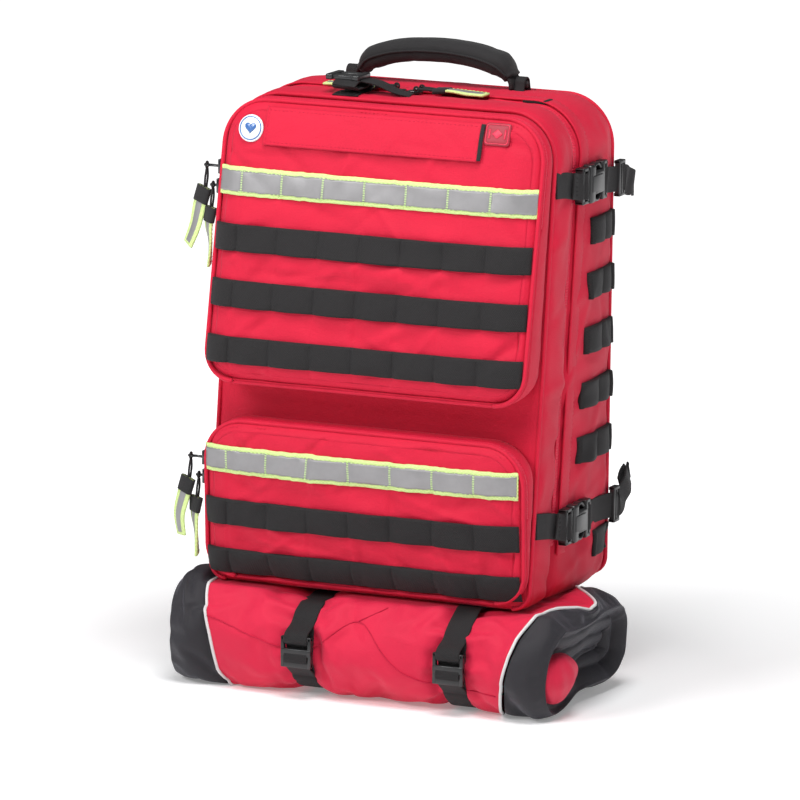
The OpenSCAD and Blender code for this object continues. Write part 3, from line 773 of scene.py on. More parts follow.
def bead_tape(name, colour):
    """Grey reflective tape: a fine cell pattern of glass beads, a little silvery, scuffed in patches."""
    material, tree, shader, add = shader_tree(name)
    where = add("ShaderNodeTexCoord")
    beads = add("ShaderNodeTexVoronoi", Scale=1500.0)
    scuff = add("ShaderNodeTexNoise", Scale=45.0, Detail=6.0, Roughness=0.65)
    for texture in (beads, scuff):
        tree.links.new(where.outputs["Object"], texture.inputs["Vector"])
    tree.links.new(tinted(tree, add, colour, scuff.outputs["Fac"], 0.8, 1.25), shader.inputs["Base Color"])
    bump = add("ShaderNodeBump", Strength=0.35, Distance=0.0002)
    tree.links.new(beads.outputs["Distance"], bump.inputs["Height"])
    tree.links.new(bump.outputs["Normal"], shader.inputs["Normal"])
    shader.inputs["Metallic"].default_value = 0.35
    shader.inputs["Roughness"].default_value = 0.46
    return material


reflective_grey = bead_tape("reflective_grey", (0.25, 0.245, 0.25))


def reflective_strip(pocket, start, end, body):
    """Lime webbing with a narrower grey tape over it, held by lime bars and a row of lime edge stitches."""
    base = piece(f"{pocket.name}_reflective_base",
                 [laid_strap(pocket.front, pocket.band, start, end, bars, width=0.0262, thick=0.0012,
                             bow=0.0010, seed=pocket.seed + 9, ragged=0.0004)], lime_tape, body)
    grey = piece(f"{pocket.name}_reflective_tape",
                 [laid_strap(pocket.front, pocket.band, start + 0.001, end - 0.001, bars, width=0.0188,
                             thick=0.0010, bow=0.0012, lift=0.0011, seed=pocket.seed + 9, ragged=0.0006)],
                 reflective_grey, body)
    sewn = bar_tacks(pocket.front, pocket.band, bars, width=0.0245, lift=0.0024, count=3)
    x = np.linspace(start + 0.002, end - 0.002, 160)
    for side in (-1, 1):
        z = np.full_like(x, pocket.band + side * 0.0094)
        sewn.append(stitches(np.stack([x, pocket.front(x, z) - 0.0026, z], -1), (0, -1, 0)))
    thread = piece(f"{pocket.name}_reflective_thread", sewn, lime_thread, body)
    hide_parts(f"{pocket.name}_reflective_strip")


reflective_strip(upper, -upper.half + 0.0008, upper.half - 0.0012, "upper_flap")
reflective_strip(lower, -lower.half + 0.0010, lower.half - 0.0050, "lower_flap")


# ---------------------------------------------------------------- name flap, badge and patch
# A plain hook-and-loop flap sewn along its top edge, a round enamel badge with a heart in a ring,
# and a moulded rubber patch with a raised diamond. None of them carries a letter or a mark.
red_lining = woven_cloth("red_lining", (0.60, 0.012, 0.055), rough=0.85)
black_cloth = woven_cloth("black_cloth", (0.018, 0.017, 0.018), rough=0.8, sheen=0.2,
                          sheen_tint=(0.5, 0.5, 0.5))
flap_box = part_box("name_flap")
flap_top = flap_box[1][2]
flap_drop = flap_top - flap_box[0][2]


def lie_on(pocket, x, z, lift):
    return np.stack([x, pocket.front(x, z, False) - lift, z], -1)


def name_lift(x, z):
    """How far the flap stands off the pocket: sewn down at the top, bowed a little below."""
    fall = np.clip((flap_top - z) / flap_drop, 0, 1)
    wave = creases(x, z, 91, 26, (flap_box[0][0], flap_box[1][0], flap_top - flap_drop, flap_top),
                   (0.006, 0.03), 0.0007)
    return 0.0016 + 0.0022 * fall ** 0.6 + wave * np.clip(fall * 3, 0, 1)


flap_x, flap_z = np.meshgrid(np.linspace(flap_box[0][0], flap_box[1][0], 120),
                             np.linspace(flap_top - flap_drop, flap_top, 24), indexing="ij")
name_flap = piece("name_flap_cloth", [patch(lie_on(upper, flap_x, flap_z, name_lift(flap_x, flap_z)))],
                  red_cloth, "name_flap", outward=False)
modifier(name_flap, "SOLIDIFY", thickness=0.0012, offset=0.0)
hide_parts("name_flap")
edge = np.stack([flap_x[1:-1, 2], flap_z[1:-1, 2]], -1)
left_edge = np.stack([np.full(20, flap_box[0][0] + 0.003), np.linspace(flap_top, flap_top - flap_drop, 20)], -1)
hems = []
for line in (edge, left_edge, np.stack([flap_x[1:-1, -3], flap_z[1:-1, -3]], -1)):
    hems.append(stitches(lie_on(upper, line[:, 0], line[:, 1], name_lift(line[:, 0], line[:, 1]) + 0.0007),
                         (0, -1, 0)))
name_hem = piece("name_flap_stitches", hems, red_lining, "name_flap")
hook_z = np.linspace(flap_top - flap_drop + 0.001, flap_top - 0.001, 20)
hook_x = np.full_like(hook_z, flap_box[1][0] + 0.0008)
hook_tape = piece("name_flap_hook_tape",
                  [swept(lie_on(upper, hook_x, hook_z, name_lift(hook_x, hook_z) - 0.0004),
                         flat_profile(0.0060, 0.0020), (1, 0, 0), (0, -1, 0))], black_cloth, "name_flap")


def on_front(pocket, place):
    """Places a flat shape, given as (across, up, out), on the pocket's face at place = (x, z)."""
    x, z = place
    near = 0.004
    up_way = np.array([0, (pocket.front(x, z + near, False) - pocket.front(x, z - near, False)) / (2 * near), 1.0])
    up_way /= np.linalg.norm(up_way)
    across = np.array([1.0, (pocket.front(x + near, z, False) - pocket.front(x - near, z, False)) / (2 * near), 0])
    across /= np.linalg.norm(across)
    out = np.cross(across, up_way)
    origin = np.array([x, pocket.front(x, z, False), z])
    return lambda p: origin + p[..., :1] * across + p[..., 1:2] * up_way + p[..., 2:] * out


def plaque(outline, layers, place):
    """A solid of one closed outline: layers are (size, height) from the back to the middle of the face."""
    rows = [np.concatenate([outline * size, np.full((len(outline), 1), height)], -1) for size, height in layers]
    return patch(place(np.stack(rows)), closed_v=True, cap_u=True)


def circle(radius, steps=48):
    turn = np.linspace(0, 2 * math.pi, steps, endpoint=False)
    return radius * np.stack([np.cos(turn), np.sin(turn)], -1)


def heart(size, steps=48):
    """A heart: x is the cube of a sine and y a sum of four cosines of the turn."""
    t = np.linspace(0, 2 * math.pi, steps, endpoint=False)
    x = 16 * np.sin(t) ** 3
    y = 13 * np.cos(t) - 5 * np.cos(2 * t) - 2 * np.cos(3 * t) - np.cos(4 * t)
    return size / 17 * np.stack([x, y + 1.5], -1)


def rounded_square(width, height, radius, steps=6):
    turn = np.linspace(0, math.pi / 2, steps)
    corners = [np.stack([sx * (width / 2 - radius) + radius * np.cos(turn + k * math.pi / 2),
                         sy * (height / 2 - radius) + radius * np.sin(turn + k * math.pi / 2)], -1)
               for k, (sx, sy) in enumerate(((1, 1), (-1, 1), (-1, -1), (1, -1)))]
    return np.concatenate(corners)


badge_white = moulded("badge_white", (0.80, 0.83, 0.87), rough=0.22, grain=0.05, coat=0.6)
badge_blue = moulded("badge_blue", (0.045, 0.13, 0.36), rough=0.25, grain=0.05, coat=0.6)
badge_red = moulded("badge_red", (0.62, 0.02, 0.06), rough=0.45, grain=0.3)
badge_dark = moulded("badge_dark", (0.30, 0.012, 0.03), rough=0.5, grain=0.3)
badge_at = on_front(upper, middle_of(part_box("round_badge"))[[0, 2]])
badge = piece("round_badge_disc", [plaque(circle(0.0130), [(1, 0.0), (1, 0.0014), (0.96, 0.0021), (0.9, 0.0023),
                                                           (0.5, 0.0024)], badge_at)], badge_white, "upper_flap")
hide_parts("round_badge")
ring_path = np.concatenate([circle(0.0109, 64), np.full((64, 1), 0.0024)], -1)
ring_run = np.concatenate([ring_path, ring_path[:1]])
ring_out = np.concatenate([ring_run[:, :2] / 0.0109, np.zeros((65, 1))], -1)
ring = swept(ring_run, flat_profile(0.0012, 0.0007), ring_out, (0, 0, 1.0), cap=False)
badge_mark = piece("round_badge_mark", [(badge_at(ring[0]), ring[1], ring[2]),
                                        plaque(heart(0.0062), [(1, 0.0018), (1, 0.0028), (0.86, 0.0032),
                                                               (0.4, 0.0033)], badge_at)], badge_blue, "upper_flap")

patch_at = on_front(upper, middle_of(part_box("square_patch"))[[0, 2]])
rubber = piece("square_patch_base", [plaque(rounded_square(0.0255, 0.0215, 0.0032),
                                            [(1, 0.0), (1, 0.0012), (0.95, 0.0017), (0.5, 0.0018)], patch_at)],
               badge_dark, "upper_flap")
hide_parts("square_patch")
diamond = np.array([(0.0052, 0), (0, 0.0046), (-0.0052, 0), (0, -0.0046)])
diamond = np.concatenate([np.linspace(diamond[k], diamond[(k + 1) % 4], 8)[:-1] for k in range(4)])
border = rounded_square(0.0222, 0.0182, 0.0022)
border_run = np.concatenate([border, border[:1]])
border_run = np.concatenate([border_run, np.full((len(border_run), 1), 0.0019)], -1)
border_out = facing_unit(border_run * (1, 1, 0))
border_ring = swept(border_run, flat_profile(0.0011, 0.0008), border_out, (0, 0, 1.0), cap=False)
raised = [(patch_at(border_ring[0]), border_ring[1], border_ring[2]),
          plaque(diamond, [(1, 0.0014), (1, 0.0022), (0.8, 0.0026), (0.3, 0.0027)], patch_at)]
for side in (-1, 1):
    bar = rounded_square(0.0016, 0.0092, 0.0006) + (side * 0.0078, 0)
    raised.append(patch(patch_at(np.stack([np.concatenate([bar, np.full((len(bar), 1), h)], -1)
                                           for h in (0.0014, 0.0023)])), closed_v=True, cap_u=True))
patch_mark = piece("square_patch_mark", raised, badge_red, "upper_flap")


# ---------------------------------------------------------------- carry handle
# A padded woven sleeve with a bound seam down each edge, on webbing that turns in two sewn loops.
# The sleeve is an oval carried along the grip's curve, full in the middle and pinched at its ends.
def smooth_path(points, count):
    """A curve through the points: each coordinate is a cubic in the length run so far."""
    points = np.asarray(points, float)
    run = np.concatenate([[0], np.cumsum(np.linalg.norm(np.diff(points, axis=0), axis=1))])
    slopes = np.gradient(points, run, axis=0)
    at = np.linspace(0, run[-1], count)
    k = np.clip(np.searchsorted(run, at, side="right") - 1, 0, len(run) - 2)
    span = (run[k + 1] - run[k])[:, None]
    t = (at - run[k])[:, None] / span
    return ((2 * t ** 3 - 3 * t ** 2 + 1) * points[k] + (t ** 3 - 2 * t ** 2 + t) * span * slopes[k]
            + (3 * t ** 2 - 2 * t ** 3) * points[k + 1] + (t ** 3 - t ** 2) * span * slopes[k + 1])


def along_path(path, hint):
    """Unit vectors for a path: its run, the way nearest to hint at right angles to it, and aside."""
    run = facing_unit(np.gradient(np.asarray(path, float), axis=0))
    hint = np.broadcast_to(np.asarray(hint, float), run.shape)
    out = facing_unit(hint - (hint * run).sum(-1, keepdims=True) * run)
    return run, out, np.cross(out, run)


def squared(wave, power):
    """A wave drawn towards a square one: its sign times its size to a power below one."""
    return np.sign(wave) * np.abs(wave) ** power


handle_pivot = middle_of(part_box("handle_anchors"))[2] + 0.002
handle_y = middle_of(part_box("handle_sleeve"))[1]
handle_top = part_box("handle_sleeve")[1][2]
rise = handle_top - 0.0105
sleeve_path = smooth_path([(x, handle_y, rise - drop) for x, drop in
                           ((-0.076, 0.0225), (-0.068, 0.0135), (-0.050, 0.0060), (-0.026, 0.0015), (0, 0),
                            (0.026, 0.0010), (0.050, 0.0048), (0.068, 0.0115), (0.077, 0.0205))], 90)
_, sleeve_out, sleeve_aside = along_path(sleeve_path, (0, 0, 1))
share = np.linspace(0, 1, len(sleeve_path))
fullness = np.clip(np.sin(math.pi * np.clip(share, 0.02, 0.98)) * 3.2, 0, 1) ** 0.5
turn = np.linspace(0, 2 * math.pi, 36, endpoint=False)
oval = np.stack([0.0165 * squared(np.cos(turn), 0.72), 0.0112 * squared(np.sin(turn), 0.8)], -1)
wide, deep = 0.62 + 0.38 * fullness, 0.25 + 0.75 * fullness
sleeve_points = (sleeve_path[:, None] + oval[None, :, :1] * wide[:, None, None] * sleeve_aside[:, None]
                 + oval[None, :, 1:] * deep[:, None, None] * sleeve_out[:, None])
rumple = creases(share[:, None] * 0.18, turn[None] * 0.012 - 0.036, 17, 70, (0, 0.18, -0.04, 0.04),
                 (0.004, 0.012), 0.0007)
sleeve_points += rumple[..., None] * (sleeve_points - sleeve_path[:, None]) / 0.012
sleeve = piece("handle_cover", [patch(sleeve_points, closed_v=True, cap_u=True)], black_cloth, "handle")
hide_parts("handle_sleeve")
welts, seams = [], []
for side in (-1, 1):
    reach = side * 0.0163 * wide[:, None]
    welt = sleeve_path + reach * sleeve_aside + 0.0004 * sleeve_out
    welts.append(swept(welt[1:-1], flat_profile(0.0042, 0.0020), sleeve_aside[1:-1], sleeve_out[1:-1]))
    line = sleeve_path + 0.80 * reach * sleeve_aside + (0.0075 * deep)[:, None] * sleeve_out
    seams.append(stitches(line[3:-3], sleeve_out[3:-3] + side * 0.6 * sleeve_aside[3:-3]))
sleeve_welt = piece("handle_binding", welts + seams, black_web, "handle")
straps = []
for side in (-1, 1):
    tail = smooth_path([(side * 0.064, handle_y, rise - 0.0125), (side * 0.073, handle_y, rise - 0.0175),
                        (side * 0.0795, handle_y, handle_pivot + 0.0015),
                        (side * 0.0800, handle_y, handle_pivot - 0.0045)], 24)
    _, out, aside = along_path(tail, (side * 1.0, 0, 0.6))
    straps.append(swept(tail, flat_profile(0.0245, 0.0042), aside, out))
    pin = np.linspace((side * 0.0775, handle_y, handle_pivot), (side * 0.0925, handle_y, handle_pivot), 4)
    straps.append(swept(pin, round_profile(0.0036, 16), (0, 1, 0), (0, 0, 1)))
handle_web = piece("handle_webbing", straps, black_web, "handle")
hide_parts("handle_strap")
loops = []
for side in (-1, 1):
    turn = np.linspace(math.pi * 1.02, -0.02 * math.pi, 16)
    loop_x = side * 0.0875
    over = np.stack([np.full(16, loop_x), handle_y + 0.0062 * np.cos(turn),
                     handle_pivot + 0.0062 * np.sin(turn)], -1)
    feet = [[(loop_x, handle_y + s * d, bag_high[2] + 0.0014) for d in ds] for s, ds in
            ((-1, (0.022, 0.016, 0.0105)), (1, (0.0105, 0.016, 0.022)))]
    tape_run = smooth_path([*feet[0], *over[::3], *feet[1]], 60)
    _, out, aside = along_path(tape_run, tape_run - (loop_x, handle_y, handle_pivot - 0.02))
    loops.append(swept(tape_run, flat_profile(0.0105, 0.0020), aside, out))
anchors = piece("handle_anchor_loops", loops, black_web, "bag")
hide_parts("handle_anchors")


# ---------------------------------------------------------------- spare strap on top of the bag
# A folded strap and its buckle end, parked ahead of the handle, and the sewn tab it comes from.
black_plastic = moulded("black_plastic", (0.016, 0.016, 0.017), rough=0.34, coat=0.1)


def ribbon(points, width, thick, hint, count=60):
    """A strap of even width along a smooth path, its flat side facing hint."""
    path = smooth_path(points, count)
    _, out, aside = along_path(path, hint)
    return swept(path, flat_profile(width, thick), aside, out)


def block(low, high, along=1, ease=0.0012, corner=0.22):
    """A moulded block between two corners, its edges eased, swept along one axis."""
    low, high = np.asarray(low, float), np.asarray(high, float)
    middle, size = (low + high) / 2, high - low
    a, b = [k for k in range(3) if k != along]
    ease = min(ease, 0.3 * size.min())
    rings = []
    for at, tuck in ((0, ease), (0.3 * ease, 0.3 * ease), (ease, 0), (size[along] - ease, 0),
                     (size[along] - 0.3 * ease, 0.3 * ease), (size[along], ease)):
        flat = rounded_square(size[a] - 2 * tuck, size[b] - 2 * tuck, corner * min(size[a], size[b]), 4)
        ring = np.zeros((len(flat), 3))
        ring[:, along] = low[along] + at
        ring[:, a] = middle[a] + flat[:, 0]
        ring[:, b] = middle[b] + flat[:, 1]
        rings.append(ring)
    return patch(np.stack(rings), closed_v=True, cap_u=True)


def block_at(origin, low, high, along=1, ease=0.0012):
    """A block whose corners are given from origin, either corner first."""
    corners = np.asarray(origin, float) + np.stack([low, high])
    return block(corners.min(0), corners.max(0), along, ease)


top_z = bag_high[2]
fold_x = -0.053
folds = np.array([(0, 0.010, 0.0015), (-0.001, 0.026, 0.0022), (0, 0.043, 0.0030), (0, 0.0475, 0.0058),
                  (0, 0.043, 0.0082), (0.002, 0.026, 0.0078), (0, 0.013, 0.0082), (0, 0.0085, 0.0110),
                  (0, 0.013, 0.0136), (-0.001, 0.028, 0.0132), (0, 0.044, 0.0145)])
tongue = np.array([(-0.050, 0.030, 0.0150), (-0.028, 0.031, 0.0125), (-0.008, 0.033, 0.0050),
                   (0.004, 0.036, 0.0020)])
bundle = [ribbon(folds + (fold_x, 0, top_z), web_width, 0.0021, (0, 0, 1), 90),
          ribbon(tongue + (0, 0, top_z), 0.021, 0.0020, (0, 0, 1))]
spare = piece("top_strap_folded", bundle, black_web, "bag")
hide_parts("top_strap")
frame_bars = [((-0.070, 0.016, 0.0150), (-0.046, 0.026, 0.0195), 0),
              ((-0.070, 0.034, 0.0150), (-0.046, 0.041, 0.0195), 0),
              ((-0.075, 0.014, 0.0148), (-0.068, 0.043, 0.0202), 1),
              ((-0.048, 0.014, 0.0148), (-0.041, 0.043, 0.0202), 1)]
spare_end = piece("top_strap_buckle", [block_at((0, 0, top_z), *bar) for bar in frame_bars], black_plastic, "bag")
corner_tab = piece("top_corner_tab", [block((0.106, 0.062, top_z - 0.001), (0.131, 0.078, top_z + 0.0024), 0)],
                   black_web, "bag")


# ---------------------------------------------------------------- side webbing and buckled straps
# Five webbing rows on each side wall, and an upper and a lower strap with a side-release buckle,
# a ladder adjuster and a loose tail. Everything is built on one side and mirrored to the other.
def mirrored(patches):
    """The same patches on the other side of the bag."""
    return [(points * (-1, 1, 1), faces, uv) for points, faces, uv in patches]


def wall_strap(z_mid, start, end, tacks, drop=0.0, bow=0.0020, lift=0.0, width=web_width, seed=0):
    """A strap laid along the side wall from start to end, drop lower at its far end, with bowed cells."""
    chance = np.random.default_rng(2000 + seed)
    y = np.unique(np.concatenate([np.arange(start, end, 0.002), [end],
                                  *[[t - 0.001, t, t + 0.001] for t in tacks]]))
    side = np.array([-1, -1, -0.985, -0.6, 0, 0.6, 0.985, 1, 1])
    depth = np.array([0, 0.6, 1, 1.06, 1.1, 1.06, 1, 0.6, 0])
    raise_by = cell_bow(y, np.asarray(tacks), start, end, bow, chance)
    z = z_mid - drop * ((y - start) / (end - start))[:, None] + side[None] * width / 2
    x = side_wall(y[:, None] + 0 * z, z) + lift + depth[None] * (0.0019 + raise_by[:, None])
    face = np.stack([x, y[:, None] + 0 * z, z], -1)
    behind = face[:, ::-1][:, 1:-1].copy()
    behind[..., 0] = side_wall(behind[..., 1], behind[..., 2]) + lift - 0.0006
    loop = np.concatenate([face, behind], 1)
    return patch(loop, closed_v=True, cap_u=True, uv=np.stack([loop[..., 1], loop[..., 2] - z_mid], -1))


def wall_tacks(z_mid, places, width=web_width, lift=0.0021):
    made = []
    for place in places:
        for k in (-1, 0, 1):
            z = np.linspace(z_mid - width * 0.44, z_mid + width * 0.44, 12)
            y = np.full_like(z, place + k * 0.0007)
            made.append(stitches(np.stack([side_wall(y, z) + lift, y, z], -1), (1, 0, 0), 0.0022, 0.0022, 0.0006))
    return made


side_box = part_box("side_webbing_rows")
side_rows = [side_box[1][2] - web_width / 2 + (side_box[0][2] - side_box[1][2] + web_width) * k / 4
             for k in range(5)]
side_patches = []
for k, z in enumerate(side_rows):
    first, last = zip_y(z) + 0.036, back_y - 0.0035
    tacks = [first + 0.004, (first + last) / 2 + 0.002, last - 0.006]
    side_patches.append(wall_strap(z, first, last, tacks, bow=0.0030, seed=k))
    side_patches += wall_tacks(z, tacks)
side_webbing = piece("side_rows", side_patches + mirrored(side_patches), black_web, "bag")
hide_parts("side_webbing_rows")

wall_x = bag_width / 2
fronts, rears, sockets, adjusters, plugs = [], [], [], [], {}
strap_wide, strap_thick = 0.0245, 0.0020


def off_wall(points):
    """Points given as (distance off the side wall, fore and aft, up), put in the bag's frame."""
    return [(wall_x + out, y, up) for out, y, up in points]


for level, z, tip in (("upper", strap_heights[0], 0.006), ("lower", strap_heights[1], 0.009)):
    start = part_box(f"plug_{level}_right")[0][1]
    sockets_from = start + 0.0166
    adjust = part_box("strap_adjusters")[0][1]
    fronts.append(ribbon(off_wall([(0.0010, seam_y(z) + 0.003, z + tip), (0.0032, seam_y(z) + 0.018, z + tip * 0.8),
                                   (0.0040, start - 0.010, z + tip * 0.3), (0.0088, start + 0.001, z),
                                   (0.0122, start + 0.008, z), (0.0098, start + 0.0125, z),
                                   (0.0070, start + 0.008, z)]), strap_wide, strap_thick, (1, 0, 0.05), 80))
    fronts.append(ribbon(off_wall([(0.0070, start - 0.014, z + tip * 0.5), (0.0076, start - 0.006, z + tip * 0.2),
                                   (0.0108, start + 0.002, z)]), strap_wide, 0.0018, (1, 0, 0), 20))
    for y in (start - 0.012, start - 0.0095):
        zz = np.linspace(z - 0.011, z + 0.011, 12)
        row = np.stack([np.full(12, wall_x + 0.0090), np.full(12, y), zz + tip * 0.4], -1)
        fronts.append(stitches(row, (1, 0, 0)))
    at = np.array([wall_x + 0.0024, start, z])
    plug = [block_at(at, (0, 0, -0.0172), (0.0088, 0.0040, 0.0172), 2),
            block_at(at, (0, 0.0112, -0.0172), (0.0088, 0.0160, 0.0172), 2)]
    for s in (-1, 1):
        plug += [block_at(at, (0, 0, s * 0.0138), (0.0088, 0.016, s * 0.0172)),
                 block_at(at, (0.0022, 0.014, s * 0.0085), (0.0066, 0.030, s * 0.0125))]
        arm = smooth_path(at + [(0.0042, 0.026, s * 0.0110), (0.0042, 0.032, s * 0.0158),
                                (0.0042, 0.040, s * 0.0168), (0.0042, 0.046, s * 0.0125)], 20)
        _, out, aside = along_path(arm, (0, 0, s))
        plug.append(swept(arm, flat_profile(0.0072, 0.0034), aside, out))
    plug.append(block_at(at, (0.0022, 0.014, -0.0022), (0.0066, 0.037, 0.0022)))
    plugs[level] = plug
    at = (wall_x, sockets_from, z)
    sockets += [block_at(at, (0.0006, 0, -0.0182), (0.0128, 0.0110, 0.0182), 1, 0.002),
                block_at(at, (0.0010, 0.0100, -0.0112), (0.0122, 0.0320, 0.0112), 1, 0.001),
                block_at(at, (0.0008, 0.0300, -0.0182), (0.0116, 0.0345, 0.0182), 2, 0.0015),
                block_at(at, (0.0008, 0.0395, -0.0182), (0.0106, 0.0430, 0.0182), 2),
                block_at(at, (0.0120, 0.0020, -0.0075), (0.0136, 0.0260, 0.0075), 1, 0.0006)]
    for s in (-1, 1):
        sockets.append(block_at(at, (0.0010, 0.0300, s * 0.0146), (0.0106, 0.0430, s * 0.0182)))
    rear = sockets_from + 0.0370
    fall = 0.0 if level == "lower" else 0.005
    rear_z = z - fall
    rears.append(ribbon(off_wall([(0.0085, rear - 0.0010, z), (0.0105, rear + 0.0040, z - fall * 0.2),
                                  (0.0062, rear + 0.0120, z - fall * 0.5), (0.0052, adjust - 0.004, rear_z),
                                  (0.0070, adjust + 0.003, rear_z), (0.0088, adjust + 0.0075, rear_z)]),
                        strap_wide, strap_thick, (1, 0, 0), 60))
    lift = 0.022 if level == "lower" else -0.010
    rears.append(ribbon(off_wall([(0.0088, adjust + 0.0075, rear_z), (0.0100, adjust + 0.0125, rear_z),
                                  (0.0090, adjust + 0.020, rear_z + lift * 0.3),
                                  (0.0105, adjust + 0.030, rear_z + lift * 0.7),
                                  (0.0070, adjust + 0.040, rear_z + lift)]),
                        strap_wide, strap_thick, (1, 0, 0), 60))
    rears.append(ribbon(off_wall([(0.0070, adjust + 0.040, rear_z + lift), (0.0040, adjust + 0.0425, rear_z + lift),
                                  (0.0035, adjust + 0.036, rear_z + lift * 0.9),
                                  (0.0050, adjust + 0.026, rear_z + lift * 0.6)]),
                        strap_wide, strap_thick, (1, 0, 0), 40))
    at = (wall_x, adjust, rear_z)
    for a, b in ((0.0, 0.0032), (0.0056, 0.0084), (0.0108, 0.0140)):
        adjusters.append(block_at(at, (0.0045, a, -0.0172), (0.0098, b, 0.0172), 2, 0.001))
    for s in (-1, 1):
        adjusters.append(block_at(at, (0.0035, 0, s * 0.0140), (0.0100, 0.014, s * 0.0172), 1, 0.001))
for name, patches, material, node, slot in (
        ("side_front_straps", fronts, black_web, "side_strap_fronts", "black_webbing"),
        ("side_rear_straps", rears, black_web, "side_strap_rears", "black_webbing"),
        ("side_buckle_sockets", sockets, black_plastic, "buckle_sockets", "black_plastic"),
        ("side_ladder_adjusters", adjusters, black_plastic, "strap_adjusters", "black_plastic")):
    made = piece(name, patches + mirrored(patches), material, "bag")
    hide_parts(node)
for level, patches in plugs.items():
    for side, both in (("right", patches), ("left", mirrored(patches))):
        made = piece(f"buckle_plug_{level}_{side}", both, black_plastic, f"plug_{level}_{side}")
        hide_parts(f"plug_{level}_{side}")


# ---------------------------------------------------------------- zip sliders and pulls
# An enamelled slider with a bail, a cord loop through it, and a folded lime tape with a grey
# reflective face held in a black sleeve.
black_enamel = moulded("black_enamel", (0.014, 0.014, 0.015), rough=0.25, coat=0.4)


def hoop(centre, radius, wire, normal, steps=28):
    """A closed ring of round wire."""
    normal = np.asarray(normal, float)
    first = np.cross(normal, (0.0, 0.3, 1.0))
    first /= np.linalg.norm(first)
    second = np.cross(normal, first)
    turn = np.linspace(0, 2 * math.pi, steps, endpoint=False)
    out = np.cos(turn)[:, None] * first + np.sin(turn)[:, None] * second
    section = round_profile(wire, 8)
    points = (np.asarray(centre, float) + radius * out[:, None] + section[None, :, :1] * out[:, None]
              + section[None, :, 1:] * normal)
    return patch(points, closed_u=True, closed_v=True)


def pull_tape(points, hint, roll):
    """The three layers of a pull: lime tape, grey reflective face and black sleeve at its top."""
    path = smooth_path(points, 40)
    _, out, aside = along_path(path, hint)
    angle = np.interp(np.linspace(0, 1, 40), np.linspace(0, 1, len(roll)), roll)[:, None]
    out, aside = out * np.cos(angle) + aside * np.sin(angle), aside * np.cos(angle) - out * np.sin(angle)
    lime = swept(path, flat_profile(0.0165, 0.0026), aside, out)
    grey = swept(path[8:38], flat_profile(0.0088, 0.0036), aside[8:38], out[8:38])
    dark = swept(path[:11], flat_profile(0.0178, 0.0052), aside[:11], out[:11])
    edges = [stitches((path + s * 0.0066 * aside + 0.0014 * out)[10:], out[10:]) for s in (-1, 1)]
    return lime, grey, dark, edges


def dress_pull(node, body, lime, grey, dark, edges, cords):
    tape_piece = piece(f"{node}_tape", [lime] + edges, lime_tape, body)
    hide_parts(node)
    piece(f"{node}_reflector", [grey], reflective_grey, body)
    piece(f"{node}_sleeve", [dark], black_cloth, body)
    piece(f"{node}_cord", cords, black_cloth, body)


for pocket in (upper, lower):
    for rank, sway, rolls in (("high", -0.020, (1.25, 1.2, 1.05, 0.9)), ("low", -0.004, (1.1, 0.8, 0.45, 0.3))):
        name = f"{pocket.name}_pull_{rank}"
        slide_low, slide_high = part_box(f"{pocket.name}_slider_{rank}")
        middle = (slide_low + slide_high) / 2
        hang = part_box(name)
        hub = np.array([(hang[0][0] + hang[1][0]) / 2, (hang[0][1] + hang[1][1]) / 2, middle[2]])
        edge_x = -pocket.half
        body = [block((edge_x - 0.0046, middle[1] - 0.0045, slide_low[2]),
                      (edge_x - 0.0022, middle[1] + 0.0045, slide_high[2]), 2, 0.001),
                block((edge_x - 0.0026, middle[1] - 0.0012, slide_low[2] + 0.003),
                      (edge_x - 0.0004, middle[1] + 0.0012, slide_high[2] - 0.003), 2, 0.0005),
                swept([(edge_x - 0.004, middle[1], middle[2]), ((edge_x + hub[0]) / 2, middle[1], middle[2]),
                       (hub[0] - 0.0026, middle[1], middle[2])], round_profile(0.0014, 12), (0, 1, 0), (0, 0, 1))]
        slider = piece(f"{pocket.name}_zip_slider_{rank}", body, black_enamel, f"{pocket.name}_slider_{rank}")
        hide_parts(f"{pocket.name}_slider_{rank}")
        top_of_tape = hub + (-0.002, -0.001, -0.021)
        low_x = hub[0] + (sway if pocket is upper else sway * 0.5)
        lime, grey, dark, edges = pull_tape([top_of_tape,
                                             (hub[0] - 0.003 + sway * 0.2, hub[1] - 0.001, hub[2] - 0.038),
                                             (hub[0] + sway * 0.6, hub[1], hub[2] - 0.058),
                                             (low_x, hub[1] + 0.001, hub[2] - 0.0775)], (1, 0, 0), rolls)
        cords = [hoop(hub, 0.0030, 0.0010, (1, 0.1, 0))]
        for s in (-1, 1):
            cords.append(swept(smooth_path([hub + (0, s * 0.0012, -0.0035), hub + (-0.0004, s * 0.0026, -0.010),
                                            hub + (-0.0016, s * 0.0022, -0.022)], 16), round_profile(0.0011, 8),
                               (1, 0, 0), (0, 1, 0)))
        dress_pull(name, name, lime, grey, dark, edges, cords)

